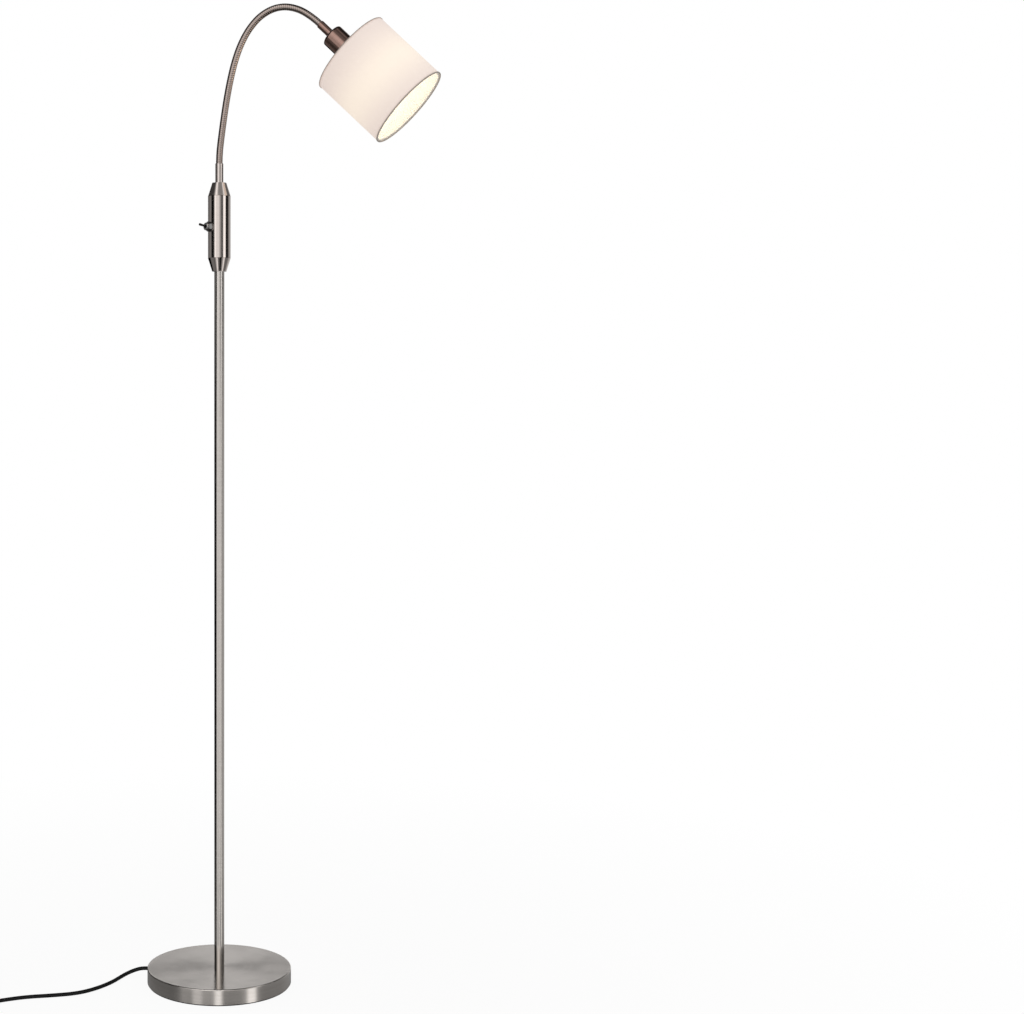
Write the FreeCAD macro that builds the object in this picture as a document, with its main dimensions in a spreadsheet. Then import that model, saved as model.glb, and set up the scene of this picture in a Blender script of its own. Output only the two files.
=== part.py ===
import FreeCAD, Part

# Gooseneck reading floor lamp, in millimetres, +Z up.
# The origin is on the floor under the middle of the round foot; the arm reaches out along +X.

import math
import os
import re
from types import SimpleNamespace

from FreeCAD import Placement, Rotation, Vector
from Sketcher import Constraint

SIZES = [
    # foot
    ("base_diameter", 230, "round foot, outside"),
    ("base_height", 26, "floor to the top face of the foot"),
    ("cover_wall", 1.2, "pressed steel cover, thickness"),
    ("cover_edge_round", 1.6, "rounding of the cover's top edge"),
    ("pad_thickness", 2, "felt pad under the foot"),
    ("pad_inset", 1.5, "pad edge inside the cover's edge"),
    ("weight_gap", 0.8, "between the iron weight and the cover's wall"),
    ("weight_thickness", 12, "iron weight, disc part"),
    ("hub_diameter", 44, "iron weight, raised middle"),
    ("recess_diameter", 32, "hollow under the weight for the foot nut"),
    ("recess_depth", 8, "depth of that hollow"),
    ("channel_width", 12.4, "groove in the weight for the cord's end"),
    # threaded parts
    ("thread_diameter", 10, "hollow threaded stud, nipple and shanks"),
    ("thread_bore", 6.4, "hole through them for the wires"),
    ("thread_gap", 0.2, "radial room of a plain hole round a thread"),
    ("fit_gap", 0.05, "radial gap of pieces that push or screw together"),
    ("nut_across", 15, "lock nut across its flats"),
    ("nut_height", 5.6, "lock nut thickness"),
    ("washer_diameter", 26, "foot washer"),
    ("washer_thickness", 1.4, "foot washer"),
    ("stud_reach", 20, "stud above the foot's top face"),
    ("stud_overrun", 0.4, "stud past its nut"),
    ("window_width", 5, "slot in the stud for the wires"),
    ("window_height", 8, "slot in the stud for the wires"),
    ("window_rise", 1, "middle of the slot above the cord's middle"),
    # pole
    ("pole_diameter", 16, "pole tube, outside"),
    ("pole_wall", 1.2, "pole tube, thickness"),
    ("pole_section", 369, "length of each of the three pole tubes"),
    ("insert_length", 30, "threaded insert in each end of the pole"),
    ("nipple_below", 15, "nipple inside the pole's upper insert"),
    ("nipple_above", 11, "nipple inside the switch housing"),
    ("coupler_length", 40, "coupler inside each pole seam"),
    ("coupler_bore", 8, "hole through a coupler"),
    # switch housing
    ("housing_diameter", 35.5, "switch housing, outside"),
    ("housing_wall", 1.2, "switch housing, thickness"),
    ("housing_tube", 96, "straight tube of the housing"),
    ("seam_bevel", 0.4, "bevel at each end of the housing's tube, seen as a fine dark line"),
    ("cone_height", 20.5, "conical end cap"),
    ("cone_end", 22.5, "small end of the cone, across"),
    ("cone_floor", 3, "thickness of the cone's flat end"),
    ("cone_wall", 1.75, "cone's wall at its small end"),
    ("spigot_height", 6, "lip of the cap inside the tube"),
    ("spigot_wall", 1.2, "thickness of that lip"),
    # toggle switch
    ("switch_azimuth", 228, "degrees from +X round to the switch"),
    ("switch_depth", 17, "switch body, along its shaft"),
    ("switch_width", 13, "switch body"),
    ("switch_height", 20, "switch body"),
    ("switch_face", 15, "front of the switch body, off the pole's axis"),
    ("terminal_length", 4, "solder tag of the switch"),
    ("terminal_width", 5, "solder tag of the switch"),
    ("terminal_thickness", 0.8, "solder tag of the switch"),
    ("terminal_space", 10, "between the two solder tags"),
    ("collar_diameter", 11.9, "threaded collar of the switch"),
    ("collar_reach", 8.5, "collar beyond the housing's wall"),
    ("collar_bore", 5.8, "mouth of the collar"),
    ("collar_bevel", 0.6, "bevel at the collar's mouth"),
    ("pivot_inset", 2.75, "lever's pivot inside the collar's mouth"),
    ("pivot_ball", 5.2, "ball at the lever's pivot"),
    ("switch_nut_across", 13.5, "switch nut across its flats"),
    ("switch_nut_height", 4.8, "switch nut"),
    ("lever_length", 14, "pivot to the middle of the lever's tip"),
    ("lever_root", 3, "lever diameter at the pivot"),
    ("lever_tip", 4, "lever diameter at the tip"),
    ("lever_bevel", 0.5, "bevel round the lever's flat tip"),
    ("lever_tilt", 12, "degrees up from level at rest"),
    # gooseneck
    ("neck_diameter", 10.5, "ribbed neck over its ribs"),
    ("rib_depth", 0.6, "height of a rib"),
    ("rib_space", 0.9, "flat valley between two ribs"),
    ("rib_ramp", 0.45, "sloping flank of a rib"),
    ("rib_count", 9, "ribs on each link"),
    ("neck_bore", 5.2, "hole through the neck for the wires"),
    ("link_length", 28.5, "each of the twelve links along the neck"),
    ("ball_inset", 0.55, "joint ball inside the valley's radius"),
    ("joint_gap", 0.3, "least gap between links and round the balls"),
    ("lower_swing", 15, "degrees each lower joint bends either way"),
    ("side_swing", 15, "degrees each sideways joint bends either way"),
    ("crown_opening", 27, "degrees a crown joint can straighten"),
    ("crown_closing", 4, "degrees a crown joint can bend further"),
    ("ferrule_wall", 1.05, "wall of the ferrule round the neck"),
    ("ferrule_socket", 10, "depth of the ferrule's socket"),
    ("ferrule_bevel", 0.4, "bevel at the ferrule's mouth"),
    ("lower_ferrule", 30, "lower ferrule above the housing"),
    ("upper_ferrule", 24, "upper ferrule above the cup"),
    ("shank_length", 12, "threaded shank of the lower ferrule"),
    ("head_shank", 20, "threaded shank of the upper ferrule"),
    # socket and cup
    ("bulb_cap", 26, "screw cap of the bulb, across"),
    ("cap_gap", 0.1, "bulb cap inside the screw shell"),
    ("shell_wall", 0.4, "brass screw shell"),
    ("socket_wall", 2.6, "moulded socket round the shell"),
    ("cup_gap", 0.6, "socket inside the cup"),
    ("cup_wall", 1.2, "spun metal cup"),
    ("cup_length", 54, "cup along the head's axis"),
    ("cup_round", 4, "rounding of the cup's closed end"),
    ("socket_start", 12, "top of the socket below the top of the cup"),
    ("shell_start", 40, "floor of the socket's well"),
    ("thread_room", 1, "threaded hole past the end of its shank"),
    ("socket_end", 68, "mouth of the socket"),
    ("contact_width", 8, "centre contact, across"),
    ("contact_height", 1.5, "centre contact"),
    ("shell_length", 24, "brass screw shell"),
    ("ring_thickness", 1.5, "flat fitter ring of the shade"),
    ("ring_width", 7.3, "fitter ring, hole to edge"),
    ("ring_gap", 0.5, "socket inside the fitter ring"),
    ("retainer_height", 8, "screwed ring that holds the shade"),
    ("retainer_wall", 4.7, "that ring, radially"),
    ("bulb_length", 71.5, "glass of the bulb from the cap to its end"),
    ("bulb_diameter", 55, "bulb"),
    ("bulb_neck", 25, "glass at the cap"),
    ("glass_wall", 0.9, "thickness of the bulb's glass"),
    ("bulb_tip", 8, "contact end of the bulb's cap"),
    ("bulb_taper", 3.5, "tapered end of the bulb's cap"),
    ("bulb_cap_length", 24.5, "screw cap of the bulb"),
    # shade
    ("shade_diameter", 138, "drum shade over its trims"),
    ("shade_length", 125, "drum shade, rim to rim"),
    ("shade_start", 41.8, "top rim below the top of the cup"),
    ("trim_thickness", 0.5, "woven edge trim"),
    ("trim_height", 2.6, "edge trim, outside"),
    ("trim_turn", 1.2, "edge trim, turned in"),
    ("fabric_thickness", 0.8, "cover fabric"),
    ("liner_thickness", 0.5, "cream liner"),
    ("ring_wire", 2.4, "wire of the shade's rings"),
    ("spoke_count", 3, "spokes of the shade frame"),
    ("spoke_diameter", 3, "spokes of the shade frame"),
    ("spoke_root_inset", 1, "foot of a spoke inside the fitter ring's edge"),
    ("first_spoke", 90, "degrees round the head's axis to the first spoke"),
    # cord
    ("cord_diameter", 6, "round two-core cord"),
    ("cord_height", 13.5, "cord's middle above the floor where it leaves the foot"),
    ("bushing_diameter", 11, "outer flange of the cord bushing"),
    ("bushing_flange", 1.5, "flange thickness"),
    ("bushing_neck", 8.4, "bushing inside the cover's hole"),
    ("bushing_barb", 1, "inner flange of the bushing"),
    ("wire_core", 2, "one insulated wire"),
    ("wire_spread", 1.15, "wire off the pole's axis"),
    ("wire_bend", 6, "radius of the wires' bends"),
    ("connector_spread", 4.2, "wire connector off the axis"),
    ("connector_diameter", 7, "wire connector"),
    ("connector_length", 16, "wire connector"),
    ("connector_top", 5, "wire connector, narrow end"),
    ("connector_gap", 7.5, "wire connector below the switch"),
    ("wire_fan", 10, "height over which the wires spread"),
    ("coil_outer", 46, "largest radius of the coil's middle line"),
    ("coil_inner", 25.2, "smallest radius of the coil's middle line"),
    ("coil_loops", 6.4, "loops of cord in the coil"),
    ("coil_layer", 6.5, "from one layer of loops to the next"),
    ("coil_lift", 0.7, "coil above the floor, on its tie"),
    ("coil_tail", 24, "straight cord from the coil to the plug"),
    ("tie_width", 8, "strap round the coil"),
    ("tie_thickness", 0.5, "strap round the coil"),
    ("tie_gap", 0.3, "between the strap and the loops"),
    ("tie_angle", 240, "degrees round the coil to the strap"),
    ("plug_length", 34, "plug body"),
    ("plug_width", 26, "plug body"),
    ("plug_height", 17, "plug body"),
    ("plug_round", 3, "rounding of the plug body"),
    ("plug_lift", 0.1, "plug above the floor"),
    ("plug_neck", 14, "strain relief of the plug"),
    ("blade_length", 17, "plug blade"),
    ("blade_width", 6.3, "plug blade"),
    ("blade_thickness", 1.5, "plug blade"),
    ("blade_space", 12.7, "between the blades' middles"),
    ("blade_hole", 3.2, "hole near a blade's end"),
    ("blade_hole_inset", 5, "that hole from the blade's end"),
    ("plug_neck_tip", 7.6, "strain relief where the cord goes in"),
    ("plug_neck_root", 12, "strain relief at the plug body"),
]

# How far each link of the neck turns the neck over at rest, in degrees, from the housing to the head.
LINK_TURNS = [7, 1, 1, 2, 3, 6, 10, 15, 24, 30, 23.5, 11]

# How much of the crown's whole swing each of its joints takes, from the neck's seventh joint to its eleventh.
CROWN_SHARES = [0.46, 0.72, 1, 0.98, 0.64]

rows = list(SIZES)
for link, turn in enumerate(LINK_TURNS, start=1):
    rows.append((f"turn_of_link_{link}", turn, f"degrees that link {link} turns the neck over"))
FIRST_CROWN_JOINT = len(LINK_TURNS) - len(CROWN_SHARES)
for joint, share in enumerate(CROWN_SHARES, start=FIRST_CROWN_JOINT):
    rows.append((f"share_of_joint_{joint}", share, f"part of the crown's swing that joint {joint} takes"))

doc = FreeCAD.newDocument("GooseneckFloorLamp")
sheet = doc.addObject("Spreadsheet::Sheet", "Sizes")
for row, (alias, number, meaning) in enumerate(rows, start=1):
    sheet.set(f"A{row}", alias)
    sheet.set(f"B{row}", str(number))
    sheet.set(f"C{row}", meaning)
    sheet.setAlias(f"B{row}", alias)
doc.recompute()

aliases = [alias for alias, _, _ in rows]
d = SimpleNamespace(**{alias: float(sheet.get(alias)) for alias in aliases})
turns = [getattr(d, alias) for alias in aliases if alias.startswith("turn_of_link")]
shares = {joint: getattr(d, f"share_of_joint_{joint}") for joint in range(FIRST_CROWN_JOINT, len(turns))}

WORLD = Placement()
UPRIGHT = Rotation()
UPSIDE_DOWN = Rotation(Vector(1, 0, 0), 180)
Y_AXIS = Vector(0, 1, 0)
Z_AXIS = Vector(0, 0, 1)
nodes = {}


# ---------------------------------------------------------------- helpers

def linked(formula):
    """A formula in the words of the sheet, as an expression of the document."""
    return re.sub(r"\w+", lambda m: f"Sizes.{m[0]}" if m[0] in aliases else m[0], formula)


def bind(item, **formulas):
    """Ties an object's sizes to the sheet."""
    for size, formula in formulas.items():
        item.setExpression(size, linked(formula))
    return item


def at(x=0, y=0, z=0, turn=UPRIGHT, frame=WORLD):
    """A place, in the lamp's frame or in the given one."""
    return frame.multiply(Placement(Vector(x, y, z), turn))


def put(item, place):
    item.Placement = place
    return item


def compass(degrees):
    """A level direction, from its angle off +X."""
    return Vector(math.cos(math.radians(degrees)), math.sin(math.radians(degrees)), 0)


def node(label, item):
    """Names the object that becomes one separate piece."""
    item.Label = label
    nodes[label] = item
    return item


def empty_sketch(body, name):
    """A sketch on the body's own XZ plane, for a profile that is turned round the body's Z axis."""
    sketch = body.newObject("Sketcher::SketchObject", name)
    plane = next(feature for feature in body.Origin.OriginFeatures if feature.Role == "XZ_Plane")
    sketch.AttachmentSupport = [(plane, "")]
    sketch.MapMode = "FlatFace"
    sketch.Visibility = False
    return sketch


def pin_point(sketch, line, radius, height):
    """Holds the start of a line of the sketch at a radius and a height, given as formulas."""
    start = sketch.getPoint(line, 1)
    if radius == "0":
        sketch.addConstraint(Constraint("PointOnObject", line, 1, -2))
    else:
        index = sketch.addConstraint(Constraint("DistanceX", -1, 1, line, 1, start.x))
        sketch.setExpression(f"Constraints[{index}]", linked(radius))
    if height == "0":
        sketch.addConstraint(Constraint("PointOnObject", line, 1, -1))
    else:
        index = sketch.addConstraint(Constraint("DistanceY", -1, 1, line, 1, start.y))
        sketch.setExpression(f"Constraints[{index}]", linked(height))


def revolve(body, sketch):
    turning = body.newObject("PartDesign::Revolution", body.Name + "_turning")
    turning.Profile = sketch
    turning.ReferenceAxis = (sketch, ["V_Axis"])
    turning.Angle = 360


def turned(name, corners, place=WORLD):
    """A body turned round its own Z axis from (radius, height) corners, each a formula."""
    body = doc.addObject("PartDesign::Body", name)
    sketch = empty_sketch(body, name + "_profile")
    step = 360 / len(corners)
    spots = [Vector(20, 20, 0) + compass(step * i) * 10 for i in range(len(corners))]
    for i, spot in enumerate(spots):
        sketch.addGeometry(Part.LineSegment(spot, spots[(i + 1) % len(spots)]), False)
    for i, (radius, height) in enumerate(corners):
        sketch.addConstraint(Constraint("Coincident", i, 2, (i + 1) % len(corners), 1))
        pin_point(sketch, i, radius, height)
    revolve(body, sketch)
    return put(body, place)


def ring(name, inner, outer, low, high, place=WORLD):
    """A plain ring or tube."""
    return turned(name, [(inner, low), (outer, low), (outer, high), (inner, high)], place)


def round_rim(body, size, rim_radius, rim_height):
    """Rounds the circular edge of a turned body at the given radius and height."""
    doc.recompute()
    base = body.Tip
    names = [
        f"Edge{index}"
        for index, edge in enumerate(base.Shape.Edges, start=1)
        if isinstance(edge.Curve, Part.Circle)
        and abs(edge.Curve.Radius - rim_radius) < 1e-4
        and abs(edge.Curve.Center.z - rim_height) < 1e-4
    ]
    rounding = body.newObject("PartDesign::Fillet", body.Name + "_rounding")
    rounding.Base = (base, names)
    bind(rounding, Radius=size)


def cylinder(name, radius, height, place=WORLD):
    return put(bind(doc.addObject("Part::Cylinder", name), Radius=radius, Height=height), place)


def block(name, length, width, height, place=WORLD):
    """A box that starts at its place along X and Z and is centred on it along Y."""
    item = bind(doc.addObject("Part::Box", name), Length=length, Width=width, Height=height)
    doc.recompute()
    return put(item, at(y=-item.Width.Value / 2, frame=place))


def minus(name, base, *tools):
    """The base with each of the tools cut away."""
    for tool in tools:
        cut = doc.addObject("Part::Cut", name)
        cut.Base = base
        cut.Tool = tool
        base = cut
    return base


def joined(name, *shapes):
    fusion = doc.addObject("Part::MultiFuse", name)
    fusion.Shapes = list(shapes)
    return fusion


def grouped(name, items):
    """Separate solids that share one node."""
    group = doc.addObject("Part::Compound", name)
    group.Links = list(items)
    return group


def shaped(name, shape):
    """A piece whose shape is worked out below from the sheet's sizes."""
    item = doc.addObject("Part::Feature", name)
    item.Shape = shape
    return item


def hex_nut(name, across, height, hole_radius, place):
    """A six-sided nut that starts at its place along Z."""
    blank = doc.addObject("Part::Prism", name + "_blank")
    blank.Polygon = 6
    bind(blank, Circumradius=f"{across} / sqrt(3)", Height=height)
    put(blank, place)
    return minus(name, blank, cylinder(name + "_hole", hole_radius, height, place))


# ---------------------------------------------------------------- measures that several pieces share

THREAD = "thread_diameter / 2"
THREAD_HOLE = "(thread_diameter / 2 + fit_gap)"
PLAIN_HOLE = "(thread_diameter / 2 + thread_gap)"
THREAD_BORE = "thread_bore / 2"

COVER_INSIDE = "(base_diameter / 2 - cover_wall)"
COVER_CEILING = "(base_height - cover_wall)"
WEIGHT_RIM = f"({COVER_INSIDE} - weight_gap)"
RECESS_CEILING = "(pad_thickness + recess_depth)"

POLE_INSIDE = "(pole_diameter / 2 - pole_wall)"
HOUSING_RIM = "housing_diameter / 2"
HOUSING_INSIDE = "(housing_diameter / 2 - housing_wall)"

NECK_BORE = "neck_bore / 2"
FERRULE_BORE = "(neck_diameter / 2 + fit_gap)"
FERRULE_RIM = f"({FERRULE_BORE} + ferrule_wall)"

SHELL_BORE = "(bulb_cap / 2 + cap_gap)"
SHELL_RIM = f"({SHELL_BORE} + shell_wall)"
SOCKET_BORE = f"({SHELL_RIM} + cap_gap)"
SOCKET_RIM = f"({SOCKET_BORE} + socket_wall)"
CUP_BORE = f"({SOCKET_RIM} + cup_gap)"
CUP_RIM = f"({CUP_BORE} + cup_wall)"

FABRIC_RIM = "(shade_diameter / 2 - trim_thickness - fit_gap)"
FABRIC_INSIDE = f"({FABRIC_RIM} - fabric_thickness)"
LINER_RIM = f"({FABRIC_INSIDE} - fit_gap)"
LINER_INSIDE = f"({LINER_RIM} - liner_thickness)"
RING_CENTRE = f"({LINER_INSIDE} - fit_gap - ring_wire / 2)"
SHADE_END = "(shade_start + shade_length)"

weight_top = d.base_height - d.cover_wall
pole_top = d.base_height + 3 * d.pole_section
tube_foot = pole_top + d.cone_height
switch_level = tube_foot + d.housing_tube / 2
housing_top = tube_foot + d.housing_tube + d.cone_height
neck_foot = housing_top + d.lower_ferrule


# ---------------------------------------------------------------- foot

def foot():
    radius = d.base_diameter / 2
    inside = radius - d.cover_wall

    pressing = turned("cover_pressing", [
        (PLAIN_HOLE, "base_height"),
        ("base_diameter / 2", "base_height"),
        ("base_diameter / 2", "pad_thickness"),
        (COVER_INSIDE, "pad_thickness"),
        (COVER_INSIDE, COVER_CEILING),
        (PLAIN_HOLE, COVER_CEILING),
    ])
    round_rim(pressing, "cover_edge_round", radius, d.base_height)
    round_rim(pressing, "cover_edge_round - cover_wall", inside, weight_top)
    cord_way = at(0, 0, d.cord_height, Rotation(Y_AXIS, -90))
    cord_hole = cylinder("cover_cord_hole", "bushing_neck / 2 + thread_gap", "base_diameter", cord_way)
    node("base_cover", minus("base_cover_cut", pressing, cord_hole))

    casting = turned("weight_casting", [
        ("recess_diameter / 2", "pad_thickness"),
        (WEIGHT_RIM, "pad_thickness"),
        (WEIGHT_RIM, "pad_thickness + weight_thickness"),
        ("hub_diameter / 2", "pad_thickness + weight_thickness"),
        ("hub_diameter / 2", COVER_CEILING),
        (PLAIN_HOLE, COVER_CEILING),
        (PLAIN_HOLE, RECESS_CEILING),
        ("recess_diameter / 2", RECESS_CEILING),
    ])
    channel_floor = d.cord_height - d.channel_width / 2
    channel_spot = at(-d.base_diameter, 0, channel_floor)
    channel = block("weight_channel", "base_diameter", "channel_width", "base_height", channel_spot)
    node("base_weight", minus("base_weight_cut", casting, channel))

    pad_rim = "base_diameter / 2 - pad_inset"
    node("base_pad", turned("felt_pad", [
        ("0", "0"),
        (pad_rim, "0"),
        (pad_rim, "pad_thickness"),
        ("0", "pad_thickness"),
    ]))

    washer_face = f"{RECESS_CEILING} - washer_thickness"
    node("base_washer", ring("foot_washer", PLAIN_HOLE, "washer_diameter / 2", washer_face, RECESS_CEILING))

    stud_foot = f"{washer_face} - nut_height - stud_overrun"
    stud = ring("stud_blank", THREAD_BORE, THREAD, stud_foot, "base_height + stud_reach")
    window_spot = at(-d.thread_diameter, 0, d.cord_height + d.window_rise - d.window_height / 2)
    window = block("stud_window", "thread_diameter", "window_width", "window_height", window_spot)
    node("base_stud", minus("base_stud_cut", stud, window))

    bushing = turned("moulded_bushing", [
        ("0", f"{COVER_INSIDE} - thread_gap - bushing_barb"),
        ("bushing_diameter / 2", f"{COVER_INSIDE} - thread_gap - bushing_barb"),
        ("bushing_diameter / 2", f"{COVER_INSIDE} - thread_gap"),
        ("bushing_neck / 2", f"{COVER_INSIDE} - thread_gap"),
        ("bushing_neck / 2", "base_diameter / 2 + fit_gap"),
        ("bushing_diameter / 2", "base_diameter / 2 + fit_gap"),
        ("bushing_diameter / 2", "base_diameter / 2 + fit_gap + bushing_flange"),
        ("0", "base_diameter / 2 + fit_gap + bushing_flange"),
    ], cord_way)
    node("cord_bushing", bushing)


# ---------------------------------------------------------------- pole

def pole():
    for index, name in enumerate(["pole_lower", "pole_middle", "pole_upper"]):
        foot_of_tube = at(z=d.base_height + index * d.pole_section)
        node(name, ring(name + "_tube", POLE_INSIDE, "pole_diameter / 2", "0", "pole_section", foot_of_tube))

    insert_feet = [d.base_height, pole_top - d.insert_length]
    inserts = [
        ring(f"insert_{index}", THREAD_HOLE, f"{POLE_INSIDE} - fit_gap", "0", "insert_length", at(z=height))
        for index, height in enumerate(insert_feet, start=1)
    ]
    node("pole_inserts", grouped("insert_pair", inserts))

    couplers = []
    for seam in (1, 2):
        middle = at(z=d.base_height + seam * d.pole_section - d.coupler_length / 2)
        rim = f"{POLE_INSIDE} - fit_gap"
        couplers.append(ring(f"coupler_{seam}", "coupler_bore / 2", rim, "0", "coupler_length", middle))
    node("pole_couplers", grouped("coupler_pair", couplers))

    nipple = ring("nipple_tube", THREAD_BORE, THREAD, "-nipple_below", "nipple_above", at(z=pole_top))
    node("pole_nipple", nipple)


# ---------------------------------------------------------------- switch housing

def housing():
    cone_cap = [
        (PLAIN_HOLE, "0"),
        ("cone_end / 2", "0"),
        (HOUSING_RIM, "cone_height"),
        (f"{HOUSING_INSIDE} - fit_gap", "cone_height"),
        (f"{HOUSING_INSIDE} - fit_gap", "cone_height + spigot_height"),
        (f"{HOUSING_INSIDE} - fit_gap - spigot_wall", "cone_height + spigot_height"),
        (f"{HOUSING_INSIDE} - fit_gap - spigot_wall", "cone_height"),
        ("cone_end / 2 - cone_wall", "cone_floor"),
        (PLAIN_HOLE, "cone_floor"),
    ]
    node("lower_end_cap", turned("lower_cone", cone_cap, at(z=pole_top)))
    node("upper_end_cap", turned("upper_cone", cone_cap, at(z=housing_top, turn=UPSIDE_DOWN)))

    outward = at(z=switch_level, turn=Rotation(Z_AXIS, d.switch_azimuth) * Rotation(Y_AXIS, 90))
    tube = turned("housing_blank", [
        (HOUSING_INSIDE, "0"),
        (f"{HOUSING_RIM} - seam_bevel", "0"),
        (HOUSING_RIM, "seam_bevel"),
        (HOUSING_RIM, "housing_tube - seam_bevel"),
        (f"{HOUSING_RIM} - seam_bevel", "housing_tube"),
        (HOUSING_INSIDE, "housing_tube"),
    ], at(z=tube_foot))
    hole = cylinder("housing_collar_hole", "collar_diameter / 2 + thread_gap", "housing_diameter", outward)
    node("switch_housing", minus("switch_housing_cut", tube, hole))

    # In the switch's own frame X points down, Y round the housing and Z outward.
    case_spot = at(-d.switch_height / 2, 0, d.switch_face - d.switch_depth, frame=outward)
    case = block("switch_case", "switch_height", "switch_width", "switch_depth", case_spot)
    tags = []
    for side in (-1, 1):
        tag_spot = at(
            side * d.terminal_space / 2 - d.terminal_thickness / 2,
            0,
            d.switch_face - d.switch_depth - d.terminal_length,
            frame=outward,
        )
        tag = f"switch_tag_{side + 1}"
        tags.append(block(tag, "terminal_thickness", "terminal_width", "terminal_length", tag_spot))
    node("switch_body", joined("switch_body_joined", case, *tags))

    mouth = f"({HOUSING_RIM} + collar_reach)"
    well_floor = f"{mouth} - pivot_inset - pivot_ball / 2 - joint_gap"
    node("switch_collar", turned("threaded_collar", [
        ("0", "switch_face"),
        ("collar_diameter / 2", "switch_face"),
        ("collar_diameter / 2", f"{mouth} - collar_bevel"),
        ("collar_diameter / 2 - collar_bevel", mouth),
        ("collar_bore / 2 + collar_bevel / 2", mouth),
        ("collar_bore / 2", f"{mouth} - collar_bevel"),
        ("collar_bore / 2", well_floor),
        ("0", well_floor),
    ], outward))

    nut_spot = at(z=d.housing_diameter / 2 + d.fit_gap, frame=outward)
    nut_hole = "collar_diameter / 2 + fit_gap"
    node("switch_nut", hex_nut("collar_nut", "switch_nut_across", "switch_nut_height", nut_hole, nut_spot))

    pivot = d.housing_diameter / 2 + d.collar_reach - d.pivot_inset
    lever_place = at(z=pivot, turn=Rotation(Y_AXIS, -d.lever_tilt), frame=outward)
    ball = put(bind(doc.addObject("Part::Sphere", "lever_ball"), Radius="pivot_ball / 2"), lever_place)
    bat = turned("lever_bat", [
        ("0", "0"),
        ("lever_root / 2", "0"),
        ("lever_tip / 2", "lever_length - lever_bevel"),
        ("lever_tip / 2 - lever_bevel", "lever_length"),
        ("0", "lever_length"),
    ], lever_place)
    node("toggle_lever", joined("toggle_lever_joined", ball, bat))


def lock_nuts():
    spots = {
        "foot_nut": d.pad_thickness + d.recess_depth - d.washer_thickness - d.nut_height,
        "lower_cap_nut": pole_top + d.cone_floor,
        "upper_cap_nut": housing_top - d.cone_floor - d.nut_height,
    }
    nuts = [
        hex_nut(name, "nut_across", "nut_height", THREAD_HOLE, at(z=height))
        for name, height in spots.items()
    ]
    node("lock_nuts", grouped("lock_nut_set", nuts))


# ---------------------------------------------------------------- gooseneck

def along(link, distance):
    """The neck's middle line at a distance past a link's lower joint, and its heading off the vertical.

    Each link is one arc, and before and past the link the line runs straight on."""
    spot, heading = link_feet[link]
    bent = min(max(distance, 0), d.link_length)
    turn = math.radians(turns[link]) * bent / d.link_length
    chord = bent if abs(turn) < 1e-9 else bent * math.sin(turn / 2) / (turn / 2)
    way = math.radians(heading) + turn / 2
    end_way = math.radians(heading) + turn
    straight = distance - bent
    spot = spot + Vector(chord * math.sin(way), 0, chord * math.cos(way))
    spot += Vector(straight * math.sin(end_way), 0, straight * math.cos(end_way))
    return spot, math.degrees(end_way)


link_feet = [(Vector(0, 0, neck_foot), 0.0)]
for link in range(len(turns)):
    link_feet.append(along(link, d.link_length))
neck_end, head_heading = link_feet[-1]


def disc(radius, link, distance, tilt=0.0):
    """A circle across the neck, tilted towards the arm's side, its start always on the Y side."""
    spot, heading = along(link, distance)
    edge = Part.Circle(Vector(), Z_AXIS, radius).toShape()
    edge.Placement = Placement(spot, Rotation(Y_AXIS, heading + tilt) * Rotation(Z_AXIS, 90))
    return Part.Wire([edge])


def joint_faces(joint):
    """Half the gap between two links on the neck's middle line, and how far each face tilts."""
    valley = d.neck_diameter / 2 - d.rib_depth
    if joint in (0, len(turns)):
        return 0.0, 0.0
    if joint not in shares:
        swing = max(d.lower_swing, d.side_swing)
        return (valley * math.sin(math.radians(swing)) + d.joint_gap) / 2, 0.0
    outer_gap = valley * math.sin(math.radians(d.crown_opening * shares[joint])) + d.joint_gap
    inner_gap = valley * math.sin(math.radians(d.crown_closing * shares[joint])) + d.joint_gap
    return (outer_gap + inner_gap) / 4, math.degrees(math.atan2(outer_gap - inner_gap, 4 * valley))


# How much of a slanting end face's tilt each circle of the rib beside it takes, from the face inwards.
FACE_LEAN = [1, 0.85, 0.3, 0]


def ribbed(link):
    """One link's outside: a tail at either end of the neck, and ribs, each through four circles."""
    crest = d.neck_diameter / 2
    valley = crest - d.rib_depth
    first, last = link == 0, link == len(turns) - 1
    half_gap, foot_tilt = joint_faces(link)
    start = d.rib_space if first else half_gap
    half_gap, top_tilt = joint_faces(link + 1)
    end = d.link_length - (d.rib_space if last else half_gap)
    circles = []
    if first:
        circles += [disc(crest, link, -d.ferrule_socket), disc(crest, link, -d.rib_ramp)]
        circles += [disc(valley, link, 0)]
    count = round(d.rib_count)
    pitch = (end - start + d.rib_space) / count
    offsets = [0, d.rib_ramp, pitch - d.rib_space - d.rib_ramp, pitch - d.rib_space]
    for rib in range(count):
        for k, (offset, radius) in enumerate(zip(offsets, [valley, crest, crest, valley])):
            tilt = 0.0
            if rib == 0:
                tilt += foot_tilt * FACE_LEAN[k]
            if rib == count - 1:
                tilt -= top_tilt * FACE_LEAN[-1 - k]
            circles.append(disc(radius, link, start + rib * pitch + offset, tilt))
    if last:
        length = d.link_length
        circles += [disc(valley, link, length)]
        circles += [disc(crest, link, length + d.rib_ramp), disc(crest, link, length + d.ferrule_socket)]
    return Part.makeLoft(circles, True, True)


BORE_STEPS = 6


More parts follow.
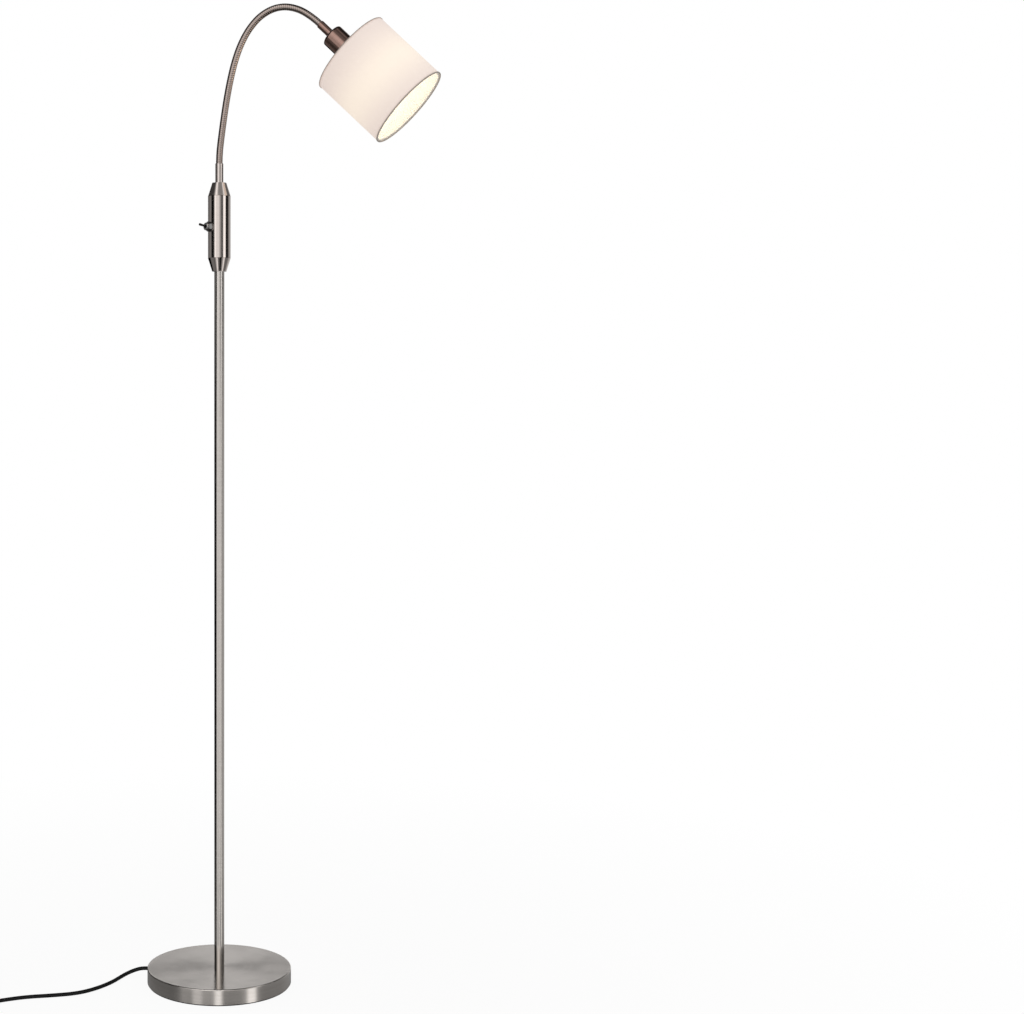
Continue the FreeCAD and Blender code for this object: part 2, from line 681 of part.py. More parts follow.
def link_solid(link):
    """A link: ribs outside, a ball at its upper joint, a cup for the ball below, a bore for the wires."""
    ball = d.neck_diameter / 2 - d.rib_depth - d.ball_inset
    shape = ribbed(link)
    if link < len(turns) - 1:
        shape = shape.fuse(Part.makeSphere(ball, link_feet[link + 1][0]))
    if link > 0:
        shape = shape.cut(Part.makeSphere(ball + d.joint_gap, link_feet[link][0]))
    reach = d.ferrule_socket + d.thread_room
    pace = (d.link_length + 2 * reach) / BORE_STEPS
    stops = [step * pace - reach for step in range(BORE_STEPS + 1)]
    bore = Part.makeLoft([disc(d.neck_bore / 2, link, stop) for stop in stops], True, True)
    return shape.cut(bore)


def gooseneck():
    for link in range(len(turns)):
        node(f"neck_link_{link + 1:02d}", shaped(f"link_{link + 1}", link_solid(link)))

    node("lower_ferrule", turned("ferrule_on_housing", [
        (NECK_BORE, "-shank_length"),
        (THREAD, "-shank_length"),
        (THREAD, "0"),
        (FERRULE_RIM, "0"),
        (FERRULE_RIM, "lower_ferrule - ferrule_bevel"),
        (f"{FERRULE_RIM} - ferrule_bevel", "lower_ferrule"),
        (FERRULE_BORE, "lower_ferrule"),
        (FERRULE_BORE, "lower_ferrule - ferrule_socket"),
        (NECK_BORE, "lower_ferrule - ferrule_socket"),
    ], at(z=housing_top)))
    node("upper_ferrule", turned("ferrule_on_cup", [
        (NECK_BORE, "head_shank"),
        (THREAD, "head_shank"),
        (THREAD, "0"),
        (FERRULE_RIM, "0"),
        (FERRULE_RIM, "ferrule_bevel - upper_ferrule"),
        (f"{FERRULE_RIM} - ferrule_bevel", "-upper_ferrule"),
        (FERRULE_BORE, "-upper_ferrule"),
        (FERRULE_BORE, "ferrule_socket - upper_ferrule"),
        (NECK_BORE, "ferrule_socket - upper_ferrule"),
    ], head))


# ---------------------------------------------------------------- head: cup, socket, bulb

# The head's own Z axis runs on from the neck, from the top of the cup (0) down to the mouth of the shade.
head = at(turn=Rotation(Y_AXIS, head_heading))
head.Base = neck_end + head.Rotation.multVec(Vector(0, 0, d.upper_ferrule))


def socket():
    cup = turned("spun_cup", [
        (PLAIN_HOLE, "0"),
        (CUP_RIM, "0"),
        (CUP_RIM, "cup_length"),
        (CUP_BORE, "cup_length"),
        (CUP_BORE, "cup_wall"),
        (PLAIN_HOLE, "cup_wall"),
    ], head)
    cup_bore = d.bulb_cap / 2 + 2 * d.cap_gap + d.shell_wall + d.socket_wall + d.cup_gap
    round_rim(cup, "cup_round", cup_bore + d.cup_wall, 0)
    round_rim(cup, "cup_round - cup_wall", cup_bore, d.cup_wall)
    node("socket_cup", cup)

    nut_spot = at(z=d.cup_wall, frame=head)
    node("cup_nut", hex_nut("cup_lock_nut", "nut_across", "nut_height", THREAD_HOLE, nut_spot))

    node("socket_body", turned("moulded_socket", [
        (THREAD_HOLE, "socket_start"),
        (SOCKET_RIM, "socket_start"),
        (SOCKET_RIM, "socket_end"),
        (SOCKET_BORE, "socket_end"),
        (SOCKET_BORE, "shell_start"),
        (NECK_BORE, "shell_start"),
        (NECK_BORE, "head_shank + thread_room"),
        (THREAD_HOLE, "head_shank + thread_room"),
    ], head))
    shell_mouth = "shell_start + shell_length"
    node("screw_shell", ring("brass_shell", SHELL_BORE, SHELL_RIM, "shell_start", shell_mouth, head))
    contact_spot = at(z=d.shell_start, frame=head)
    node("centre_contact", cylinder("contact_disc", "contact_width / 2", "contact_height", contact_spot))

    ring_face = "cup_length + fit_gap + ring_thickness + fit_gap"
    ring_mouth = f"{ring_face} + retainer_height"
    thread = f"({SOCKET_RIM} + cap_gap)"
    retainer = ring("screwed_ring", thread, f"{thread} + retainer_wall", ring_face, ring_mouth, head)
    node("shade_retaining_ring", retainer)


def bulb():
    cap_foot = "(shell_start + contact_height)"
    node("bulb_cap", turned("screw_cap", [
        ("0", cap_foot),
        ("bulb_tip / 2", cap_foot),
        ("bulb_cap / 2", f"{cap_foot} + bulb_taper"),
        ("bulb_cap / 2", f"{cap_foot} + bulb_cap_length"),
        ("0", f"{cap_foot} + bulb_cap_length"),
    ], head))

    inside = glass_form("bulb_hollow", cap_foot, "glass_wall", d.glass_wall)
    node("bulb_globe", minus("bulb_globe_cut", glass_form("bulb_glass", cap_foot, "0", 0), inside))


def glass_form(name, cap_foot, inset, inset_size):
    """The bulb's form, inset by the glass: a straight flank that runs smoothly into a round end."""
    glass = doc.addObject("PartDesign::Body", name)
    sketch = empty_sketch(glass, name + "_profile")
    foot_height = d.shell_start + d.contact_height + d.bulb_cap_length
    ball = d.bulb_diameter / 2 - inset_size
    middle = foot_height + d.bulb_length - d.bulb_diameter / 2
    axis_foot = Vector(0, foot_height, 0)
    cap_edge = Vector(d.bulb_neck / 2 - inset_size, foot_height, 0)
    shoulder_angle = math.radians(-21)
    shoulder = Vector(ball * math.cos(shoulder_angle), middle + ball * math.sin(shoulder_angle), 0)
    dome_arc = Part.ArcOfCircle(Part.Circle(Vector(0, middle, 0), Z_AXIS, ball), shoulder_angle, math.pi / 2)
    sketch.addGeometry(Part.LineSegment(axis_foot, cap_edge), False)
    sketch.addGeometry(Part.LineSegment(cap_edge, shoulder), False)
    sketch.addGeometry(dome_arc, False)
    sketch.addGeometry(Part.LineSegment(Vector(0, middle + ball, 0), axis_foot), False)
    foot_line, flank, dome, axis_line = range(4)
    sketch.addConstraint(Constraint("Coincident", foot_line, 2, flank, 1))
    sketch.addConstraint(Constraint("Tangent", flank, 2, dome, 1))
    sketch.addConstraint(Constraint("Coincident", dome, 2, axis_line, 1))
    sketch.addConstraint(Constraint("Coincident", axis_line, 2, foot_line, 1))
    sketch.addConstraint(Constraint("PointOnObject", dome, 3, -2))
    pin_point(sketch, foot_line, "0", f"{cap_foot} + bulb_cap_length")
    pin_point(sketch, flank, f"bulb_neck / 2 - {inset}", f"{cap_foot} + bulb_cap_length")
    pin_point(sketch, axis_line, "0", f"{cap_foot} + bulb_cap_length + bulb_length - {inset}")
    radius = sketch.addConstraint(Constraint("Radius", dome, ball))
    sketch.setExpression(f"Constraints[{radius}]", linked(f"bulb_diameter / 2 - {inset}"))
    revolve(glass, sketch)
    return put(glass, head)


# ---------------------------------------------------------------- shade

def wire_ring(name, height):
    torus = bind(doc.addObject("Part::Torus", name), Radius1=RING_CENTRE, Radius2="ring_wire / 2")
    return put(torus, at(z=height, frame=head))


def trim(name, mouth, place):
    """Folded edge trim: outside leg, web over the rim, short leg turned in."""
    legs = [
        (f"{LINER_INSIDE} - fit_gap - trim_thickness", mouth),
        ("shade_diameter / 2", mouth),
        ("shade_diameter / 2", f"{mouth} + trim_height"),
        (f"{FABRIC_RIM} + fit_gap", f"{mouth} + trim_height"),
        (f"{FABRIC_RIM} + fit_gap", f"{mouth} + trim_thickness"),
        (f"{LINER_INSIDE} - fit_gap", f"{mouth} + trim_thickness"),
        (f"{LINER_INSIDE} - fit_gap", f"{mouth} + trim_thickness + trim_turn"),
        (f"{LINER_INSIDE} - fit_gap - trim_thickness", f"{mouth} + trim_thickness + trim_turn"),
    ]
    return turned(name, legs, place)


def shade():
    ring_inset = d.trim_thickness + d.trim_turn + d.ring_wire / 2 + d.fit_gap
    top_ring = d.shade_start + ring_inset
    bottom_ring = d.shade_start + d.shade_length - ring_inset
    socket_rim = d.bulb_cap / 2 + 2 * d.cap_gap + d.shell_wall + d.socket_wall
    fitter_rim = socket_rim + d.ring_gap + d.ring_width
    layers = d.trim_thickness + d.fabric_thickness + d.liner_thickness + 3 * d.fit_gap
    ring_centre = d.shade_diameter / 2 - layers - d.ring_wire / 2

    ring_hole = f"{SOCKET_RIM} + ring_gap"
    ring_face = "cup_length + fit_gap"
    ring_back = f"{ring_face} + ring_thickness"
    fitter = ring("fitter_ring", ring_hole, f"{ring_hole} + ring_width", ring_face, ring_back, head)
    root = Vector(fitter_rim - d.spoke_root_inset, 0, d.cup_length + d.fit_gap + d.ring_thickness / 2)
    end = Vector(ring_centre, 0, top_ring)
    lean = Rotation(Z_AXIS, end - root)
    spokes = []
    count = round(d.spoke_count)
    for index in range(count):
        spoke = bind(doc.addObject("Part::Cylinder", f"spoke_{index + 1}"), Radius="spoke_diameter / 2")
        spoke.Height = (end - root).Length
        round_about = at(turn=Rotation(Z_AXIS, d.first_spoke + index * 360 / count), frame=head)
        spokes.append(put(spoke, round_about.multiply(Placement(root, lean))))
    frame = joined("shade_frame", fitter, wire_ring("top_wire", top_ring), *spokes)
    node("shade_spider", frame)
    node("shade_bottom_ring", wire_ring("bottom_wire", bottom_ring))

    low, high = "shade_start + trim_thickness", f"{SHADE_END} - trim_thickness"
    node("shade_fabric", ring("fabric_drum", FABRIC_INSIDE, FABRIC_RIM, low, high, head))
    node("shade_liner", ring("liner_drum", LINER_INSIDE, LINER_RIM, low, high, head))
    node("shade_top_trim", trim("top_trim", "shade_start", head))
    shade_end = at(z=d.shade_start + d.shade_length, turn=UPSIDE_DOWN, frame=head)
    node("shade_bottom_trim", trim("bottom_trim", "0", shade_end))


# ---------------------------------------------------------------- cord, coil and plug

# The cord's route on the floor, by hand: out of the foot, down to the floor and off to the left.
CORD_POINTS = [
    (-128, 0, 13.5),
    (-141.5, -2.6, 9.6),
    (-153, -11.5, 5.4),
    (-159.6, -26, 3.1),
    (-164.5, -49, 3),
    (-178, -82, 3),
    (-200, -112, 3),
    (-236, -131, 3),
    (-276, -148, 3),
    (-312, -176.5, 3),
]
# Length and heading of the last straight run into the coil.
LAST_RUN = 34
COIL_HEADING = 222
# Slope at the middle of the climb from the lower loops to the upper ones, over the climb's mean slope.
CLIMB_SLOPE = 0.75
# Share of the shorter run beside a point that its arc takes.
ARC_SHARE = 0.45


def run_share(before, here, after):
    """Radius of the arc that takes its share of the shorter run beside a point."""
    half_turn = (here - before).getAngle(after - here) / 2
    return ARC_SHARE * min((here - before).Length, (after - here).Length) / math.tan(half_turn)


def rounded_path(points, bend=None):
    """Straight runs through the points, joined by tangent arcs."""
    edges = []
    radii = []
    here = points[0]
    for before, corner, after in zip(points, points[1:], points[2:]):
        into, out = (corner - before).normalize(), (after - corner).normalize()
        half_turn = into.getAngle(out) / 2
        radius = bend or run_share(before, corner, after)
        radii.append(radius)
        setback = radius * math.tan(half_turn)
        start, end = corner - into * setback, corner + out * setback
        inward = (out - into).normalize()
        middle = corner + inward * (radius / math.cos(half_turn) - radius)
        edges.append(Part.LineSegment(here, start).toShape())
        edges.append(Part.Arc(start, middle, end).toShape())
        here = end
    edges.append(Part.LineSegment(here, points[-1]).toShape())
    return Part.Wire(edges), radii


def tube(path, radius):
    """A round solid along a path of lines and arcs."""
    first = path.OrderedEdges[0]
    start = first.valueAt(first.FirstParameter)
    way = first.tangentAt(first.FirstParameter)
    section = Part.Wire([Part.Circle(start, way, radius).toShape()])
    return path.makePipeShell([section], True, False)


def arc_from(start, way, end):
    """The arc that leaves start in a direction and reaches end, or a line when it is straight."""
    chord = end - start
    angle = way.getAngle(chord)
    if angle < 1e-7:
        return Part.LineSegment(start, end).toShape()
    corner = start + way * (chord.Length / 2 / math.cos(angle))
    middle = start + chord * 0.5
    bulge = (corner - middle) * (math.tan(angle / 2) / math.tan(angle))
    return Part.Arc(start, middle + bulge, end).toShape()


def biarc(start, start_way, end, end_way):
    """Two arcs that leave start and reach end in the given directions and meet smoothly."""
    span = end - start
    both = start_way + end_way
    across = span.dot(both)
    slack = 2 * (1 - start_way.dot(end_way))
    if slack < 1e-9:
        reach = span.dot(span) / (2 * across)
    else:
        reach = (math.sqrt(across * across + 2 * slack * span.dot(span) / 2) - across) / slack
    meeting = (start + end + (start_way - end_way) * reach) * 0.5
    meeting_way = (meeting - start - start_way * reach).normalize()
    return [arc_from(start, start_way, meeting), arc_from(meeting, meeting_way, end)]


def coil_path(entry):
    """Loops that spiral in on the floor, climb one layer and spiral out again above them."""
    way_in = compass(COIL_HEADING)
    start = entry + way_in * d.cord_diameter
    start_angle = COIL_HEADING + 90
    centre = start - compass(start_angle) * d.coil_outer
    loops = math.floor(d.coil_loops) + (start_angle - 180) / 360
    quarters = 2 * round(2 * loops)
    step = 360 * loops / quarters
    draw_in = (d.coil_outer - d.coil_inner) / (quarters / 2 * step)
    low = d.cord_diameter / 2 + d.coil_lift
    edges = [Part.LineSegment(entry, start).toShape()]
    here, way = start, way_in
    for quarter in range(1, quarters + 1):
        past_middle = quarter - quarters // 2
        radius = d.coil_inner + draw_in * step * abs(past_middle)
        drift = draw_in * ((past_middle > 0) - (past_middle < 0))
        climb = {-1: 0.0, 0: 0.5, 1: 1.0}[max(-1, min(1, past_middle))]
        slope = CLIMB_SLOPE * d.coil_layer / step if past_middle == 0 else 0.0
        if quarter == quarters:
            drift = 0.0
        outward = compass(start_angle - quarter * step)
        onward = compass(start_angle - quarter * step - 90)
        end = centre + outward * radius
        end.z = low + climb * d.coil_layer
        travel = onward * (radius * math.radians(1)) + outward * drift + Vector(0, 0, slope)
        end_way = travel.normalize()
        edges += biarc(here, way, end, end_way)
        here, way = end, end_way
    plug_level = d.plug_height / 2 + d.plug_lift
    tail_start = here + way * (d.coil_tail - d.cord_diameter)
    tail_start.z = plug_level
    edges += biarc(here, way, tail_start, way)
    tail_end = tail_start + way * d.cord_diameter
    edges.append(Part.LineSegment(tail_start, tail_end).toShape())
    return Part.Wire(edges), centre, tail_end


def least_gap(path, diameter):
    """The least clear space between parts of a tube that aren't next to each other along it."""
    spots = path.discretize(Distance=diameter / 3)
    pace = path.Length / (len(spots) - 1)
    apart = math.ceil(4 * diameter / pace)
    nearest = min(
        spots[i].distanceToPoint(spots[j]) for i in range(len(spots)) for j in range(i + apart, len(spots))
    )
    return nearest - diameter


def rounded_block(name, length, width, height, rounding, place):
    """A moulded block along its own Z axis with every edge rounded."""
    body = doc.addObject("PartDesign::Body", name)
    sketch = body.newObject("Sketcher::SketchObject", name + "_outline")
    plane = next(feature for feature in body.Origin.OriginFeatures if feature.Role == "XY_Plane")
    sketch.AttachmentSupport = [(plane, "")]
    sketch.MapMode = "FlatFace"
    corners = [Vector(-5, -5, 0), Vector(5, -5, 0), Vector(5, 5, 0), Vector(-5, 5, 0)]
    for i, corner in enumerate(corners):
        sketch.addGeometry(Part.LineSegment(corner, corners[(i + 1) % 4]), False)
    for i in range(4):
        sketch.addConstraint(Constraint("Coincident", i, 2, (i + 1) % 4, 1))
        sketch.addConstraint(Constraint("Vertical" if i % 2 else "Horizontal", i))
    sketch.addConstraint(Constraint("Symmetric", 0, 1, 2, 1, -1, 1))
    for line, kind, size in ((0, "DistanceX", width), (1, "DistanceY", height)):
        index = sketch.addConstraint(Constraint(kind, line, 1, line, 2, 10))
        sketch.setExpression(f"Constraints[{index}]", linked(size))
    pad = body.newObject("PartDesign::Pad", name + "_pad")
    pad.Profile = sketch
    bind(pad, Length=length)
    sketch.Visibility = False
    doc.recompute()
    edges = [f"Edge{index + 1}" for index in range(len(pad.Shape.Edges))]
    fillet = body.newObject("PartDesign::Fillet", name + "_fillet")
    fillet.Base = (pad, edges)
    bind(fillet, Radius=rounding)
    return put(body, place)


def cord():
    radius = d.cord_diameter / 2
    bushing_face = d.base_diameter / 2 + d.fit_gap + d.bushing_flange
    points = [Vector(-bushing_face, 0, d.cord_height)] + [Vector(*point) for point in CORD_POINTS]
    points.append(points[-1] + compass(COIL_HEADING) * LAST_RUN)
    path, radii = rounded_path(points)
    stretch = node("cord_stretch", shaped("cord_tube", tube(path, radius)))
    filled = stretch.Shape.Volume / (math.pi * radius**2 * path.Length)
    print("cord bend radii, mm:", [round(value, 1) for value in radii])
    print(f"cord stretch: {path.Length:.1f} mm, volume over section times length {filled:.5f}")

    wound, centre, coil_end = coil_path(points[-1])
    coil = node("cord_coil", shaped("coil_tube", tube(wound, radius)))
    filled = coil.Shape.Volume / (math.pi * radius**2 * wound.Length)
    print(f"cord coil: {wound.Length:.1f} mm, volume over section times length {filled:.5f}")
    print(f"coil's least gap to itself: {least_gap(wound, d.cord_diameter):.2f} mm")
    print("coil's centre:", centre, "end:", coil_end, f"whole cord {path.Length + wound.Length:.0f} mm")

    # The strap stands across the loops on the side away from the foot.
    sagitta = d.tie_width**2 / (8 * (d.coil_inner - radius))
    near = d.coil_inner - radius - sagitta - d.tie_gap
    far = d.coil_outer + radius + d.tie_gap
    floor_gap = d.coil_lift - d.tie_thickness
    inner_height = d.coil_layer + d.cord_diameter + d.tie_gap
    wall = d.tie_thickness
    across = Placement(Vector(centre.x, centre.y, 0), Rotation(Z_AXIS, d.tie_angle))
    outer = Part.makeBox(far - near + 2 * wall, d.tie_width, inner_height + 2 * wall)
    outer.translate(Vector(near - wall, -d.tie_width / 2, floor_gap / 2))
    hollow = Part.makeBox(far - near, d.tie_width, inner_height)
    hollow.translate(Vector(near, -d.tie_width / 2, floor_gap / 2 + wall))
    tie = node("coil_tie", shaped("coil_strap", outer.cut(hollow)))
    tie.Placement = across

    plug = Placement(coil_end, Rotation(Vector(1, 0, 0), -90))
    neck = bind(
        doc.addObject("Part::Cone", "plug_relief"),
        Radius1="plug_neck_tip / 2",
        Radius2="plug_neck_root / 2",
        Height="plug_neck",
    )
    put(neck, plug)
    body_spot = at(z=d.plug_neck, frame=plug)
    body_size = ("plug_length", "plug_width", "plug_height")
    moulding = rounded_block("plug_moulding", *body_size, "plug_round", body_spot)
    node("plug_body", joined("plug_body_joined", neck, moulding))

    blades = []
    for side in (-1, 1):
        middle = side * d.blade_space / 2
        spot = at(middle - d.blade_thickness / 2, 0, d.plug_neck + d.plug_length, frame=plug)
        blade = block(f"blade_{side + 2}", "blade_thickness", "blade_width", "blade_length", spot)
        hole_spot = at(-d.blade_width, 0, d.blade_length - d.blade_hole_inset, Rotation(Y_AXIS, 90), spot)
        hole = cylinder(f"blade_hole_{side + 2}", "blade_hole / 2", "2 * blade_width", hole_spot)
        blades.append(minus(f"blade_cut_{side + 2}", blade, hole))
    node("plug_blades", grouped("blade_pair", blades))


def wires():
    """The cord's two cores, from the bushing up the pole to the connectors under the switch."""
    start = d.base_diameter / 2 - d.cover_wall - d.thread_gap - d.bushing_barb
    connector_foot = switch_level - d.switch_height / 2 - d.connector_gap - d.connector_length
    cores = []
    caps = []
    for side in (-1, 1):
        near, wide = side * d.wire_spread, side * d.connector_spread
        points = [
            Vector(-start, near, d.cord_height),
            Vector(0, near, d.cord_height),
            Vector(0, near, connector_foot - d.wire_fan - d.wire_bend),
            Vector(0, wide, connector_foot - d.wire_bend),
            Vector(0, wide, connector_foot),
        ]
        path, _ = rounded_path(points, d.wire_bend)
        cores.append(shaped(f"wire_core_{side + 2}", tube(path, d.wire_core / 2)))
        cap = bind(
            doc.addObject("Part::Cone", f"connector_{side + 2}"),
            Radius1="connector_diameter / 2",
            Radius2="connector_top / 2",
            Height="connector_length",
        )
        caps.append(put(cap, at(0, wide, connector_foot)))
    node("supply_wires", grouped("wire_pair", cores))
    node("wire_connectors", grouped("connector_pair", caps))


# ---------------------------------------------------------------- the whole lamp

for build in (foot, pole, housing, lock_nuts, gooseneck, socket, bulb, shade, cord, wires):
    build()
doc.recompute()

for item in doc.Objects:
    if "Invalid" in item.State or "Error" in item.State:
        raise RuntimeError(f"{item.Label} failed: {item.State}")
for label, item in nodes.items():
    if item.Shape.isNull() or not item.Shape.isValid() or not item.Shape.Solids:
        raise RuntimeError(f"{label} has no valid solid")

os.makedirs("parts", exist_ok=True)
for label, item in nodes.items():
    item.Shape.exportStep(f"parts/{label}.step")
print(len(nodes), "nodes written")
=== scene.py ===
# Gooseneck reading floor lamp, lit, in metres, +Z up.
# The origin is on the floor under the middle of the round foot; the arm reaches out along +X.

import math

import bmesh
import bpy
from mathutils import Matrix, Vector


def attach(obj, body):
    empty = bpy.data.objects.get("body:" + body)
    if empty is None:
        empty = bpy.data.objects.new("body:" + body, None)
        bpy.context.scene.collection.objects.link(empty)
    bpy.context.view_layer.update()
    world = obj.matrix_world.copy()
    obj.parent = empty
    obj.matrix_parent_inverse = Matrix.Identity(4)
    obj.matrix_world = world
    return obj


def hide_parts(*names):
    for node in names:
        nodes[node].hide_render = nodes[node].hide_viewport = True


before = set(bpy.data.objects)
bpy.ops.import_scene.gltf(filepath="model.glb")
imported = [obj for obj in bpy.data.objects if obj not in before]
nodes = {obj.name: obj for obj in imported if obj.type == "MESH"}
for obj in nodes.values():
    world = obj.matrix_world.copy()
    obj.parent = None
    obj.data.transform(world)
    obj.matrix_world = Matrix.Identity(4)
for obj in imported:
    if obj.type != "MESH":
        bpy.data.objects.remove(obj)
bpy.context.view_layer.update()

MM = 0.001
Z_AXIS = Vector((0, 0, 1))

# ---------------------------------------------------------------- sizes, in millimetres

# The gooseneck: the height of its lower end, its links and the degrees that each one turns by.
NECK_FOOT = 1300.0
LINK_LENGTH = 28.5
LINK_TURNS = [7, 1, 1, 2, 3, 6, 10, 15, 24, 30, 23.5, 11]
# From the neck's upper end to the top of the cup, and how far the neck goes into each ferrule.
UPPER_FERRULE = 24.0
FERRULE_SOCKET = 9.5

RIBS_A_LINK = 9
RIB_PITCH = LINK_LENGTH / RIBS_A_LINK
NECK_CREST = 5.25
NECK_VALLEY = 5.05
# The rib's section: points up one turn, steps round one turn, and how square its crest is (1 is a sine's).
RIB_POINTS, RIB_STEPS, RIB_FULLNESS = 8, 36, 0.3
# The ball in each joint, just inside the valleys of the ribs, and the degrees it reaches up and down.
BALL_RADIUS, BALL_REACH, BALL_STEP = 5.0, 60, 10

# Along the head's axis from the top of the cup: both rims of the shade, and the bulb's neck and middle.
SHADE_START, SHADE_END = 41.8, 166.8
BULB_NECK, BULB_MIDDLE = 66.0, 110.0
# How far along the axis from the bulb's middle its glow on the cloth fades out.
GLOW_REACH = 70.0
# The bindings' outside radius, their thickness across the rim and the tape's own; then how far each reaches
# down the cover, and what share of that it reaches inside.
SHADE_RIM = 69.0
BINDING_ACROSS, TAPE = 2.1, 0.35
TOP_LEG, MOUTH_LEG, INNER_LEG_SHARE = 1.4, 2.0, 0.8

CORD_DIAMETER = 6.0

# Steps round a turned piece, the gap under which two of its points are one, and the same for two ribs' ends.
TURN_STEPS = 128
SAME_POINT, RIBS_MEET = 0.001, 0.02


# ---------------------------------------------------------------- places

def link_feet():
    """The lower end of each link and its heading off the vertical, in degrees."""
    spot, heading = Vector((0, 0, NECK_FOOT)), 0.0
    feet = []
    for turn in LINK_TURNS:
        feet.append((spot, heading))
        way = math.radians(heading + turn / 2)
        half_turn = math.radians(turn) / 2
        chord = LINK_LENGTH * math.sin(half_turn) / half_turn
        spot = spot + Vector((math.sin(way), 0, math.cos(way))) * chord
        heading += turn
    feet.append((spot, heading))
    return feet


FEET = link_feet()


def on_neck(distance):
    """A point of the neck's middle line and the heading there, at a distance past the lower ferrule."""
    link = min(max(int(distance // LINK_LENGTH), 0), len(LINK_TURNS) - 1)
    spot, heading = FEET[link]
    past = distance - link * LINK_LENGTH
    bent = min(max(past, 0), LINK_LENGTH)
    half_turn = math.radians(LINK_TURNS[link]) * bent / LINK_LENGTH / 2
    chord = bent * math.sin(half_turn) / half_turn if half_turn else 0.0
    way = math.radians(heading) + half_turn
    end_way = math.radians(heading) + 2 * half_turn
    spot = spot + Vector((math.sin(way), 0, math.cos(way))) * chord
    spot = spot + Vector((math.sin(end_way), 0, math.cos(end_way))) * (past - bent)
    return spot, end_way


# The head's own Z axis runs on from the neck, from the top of the cup (0) down to the mouth of the shade.
cup_top, head_heading = on_neck(len(LINK_TURNS) * LINK_LENGTH + UPPER_FERRULE)
HEAD = Matrix.Translation(cup_top * MM) @ Matrix.Rotation(head_heading, 4, "Y")


# ---------------------------------------------------------------- materials

def linear(code):
    """An sRGB hex colour as the linear colour that the shader takes."""
    channels = [int(code[i:i + 2], 16) / 255 for i in (1, 3, 5)]
    return [c / 12.92 if c <= 0.04045 else ((c + 0.055) / 1.055) ** 2.4 for c in channels] + [1]


def add(tree, kind, inputs=None, **settings):
    """Adds a node with its settings; an input is a value, or the socket that feeds it."""
    added = tree.nodes.new("ShaderNode" + kind)
    for setting, value in settings.items():
        setattr(added, setting, value)
    for socket, value in (inputs or {}).items():
        if isinstance(value, bpy.types.NodeSocket):
            tree.links.new(value, added.inputs[socket])
        else:
            added.inputs[socket].default_value = value
    return added


def new_material(name, **surface):
    """A material and its surface shader, with what is the same all over set on the shader's own sockets."""
    made = bpy.data.materials.new(name)
    made.use_nodes = True
    shader = made.node_tree.nodes["Principled BSDF"]
    for socket, value in surface.items():
        shader.inputs[socket.replace("_", " ")].default_value = value
    return made, made.node_tree, shader


def feed(tree, shader, **sources):
    """Links a source to each of the surface shader's sockets that are named."""
    for socket, source in sources.items():
        tree.links.new(source, shader.inputs[socket.replace("_", " ")])


def stops(ramp, *pairs):
    """Sets a ramp's stops from (place, brightness) pairs."""
    elements = ramp.color_ramp.elements
    while len(elements) < len(pairs):
        elements.new(1)
    for element, (place, value) in zip(elements, pairs):
        element.position = place
        element.color = (value, value, value, 1)


def blend(tree, dark, light, factor):
    """A colour between two sRGB hex ones."""
    mix = {"A": linear(dark), "B": linear(light), "Factor": factor}
    return add(tree, "Mix", mix, data_type="RGBA").outputs["Result"]


def head_place(tree):
    """Object coordinates turned into the head's own frame."""
    return add(tree, "Mapping", {
        "Vector": add(tree, "TexCoord").outputs["Object"],
        "Location": HEAD.to_translation(),
        "Rotation": HEAD.to_euler(),
    }, vector_type="TEXTURE").outputs[0]


def turned_metal(name, dark, light, roughness, line, around_head=False, anisotropy=0.0):
    """Plated metal polished on a lathe: fine rings round the piece's own axis, so lights draw out along it.

    line is the spacing of the rings in mm. Real ones are finer than the picture shows, so they are drawn
    coarser.
    """
    patch, uneven = 45, 0.12  # how wide the patches of uneven polish are in mm, and by what share it varies
    made, tree, shader = new_material(name, Metallic=1.0, Anisotropic=anisotropy)
    if around_head:
        place = head_place(tree)
    else:
        place = add(tree, "TexCoord").outputs["Object"]
        shader.inputs["Anisotropic Rotation"].default_value = 0.25
        feed(tree, shader, Tangent=add(tree, "Tangent", direction_type="RADIAL", axis="Z").outputs[0])
    parts = add(tree, "SeparateXYZ", {"Vector": place})
    level = add(tree, "CombineXYZ", {"X": parts.outputs["X"], "Y": parts.outputs["Y"]})
    radius = add(tree, "VectorMath", {0: level.outputs[0]}, operation="LENGTH")
    across_rings = add(tree, "Math", {0: radius.outputs["Value"], 1: parts.outputs["Z"]}, operation="ADD")
    rings = add(tree, "TexNoise", {
        "W": across_rings.outputs[0], "Scale": 1 / (line * MM), "Detail": 3.0, "Roughness": 0.6,
    }, noise_dimensions="1D")
    patches = add(tree, "TexNoise", {"Vector": place, "Scale": 1 / (patch * MM), "Detail": 2.0})
    sheen = add(tree, "MapRange", {
        "Value": patches.outputs["Fac"], "From Min": 0.3, "From Max": 0.7,
        "To Min": roughness * (1 - uneven), "To Max": roughness * (1 + uneven),
    })
    grooves = add(tree, "Bump", {"Height": rings.outputs["Fac"], "Strength": 0.05, "Distance": 0.02 * MM})
    feed(tree, shader, Base_Color=blend(tree, dark, light, rings.outputs["Fac"]),
         Roughness=sheen.outputs[0], Normal=grooves.outputs[0])
    return made


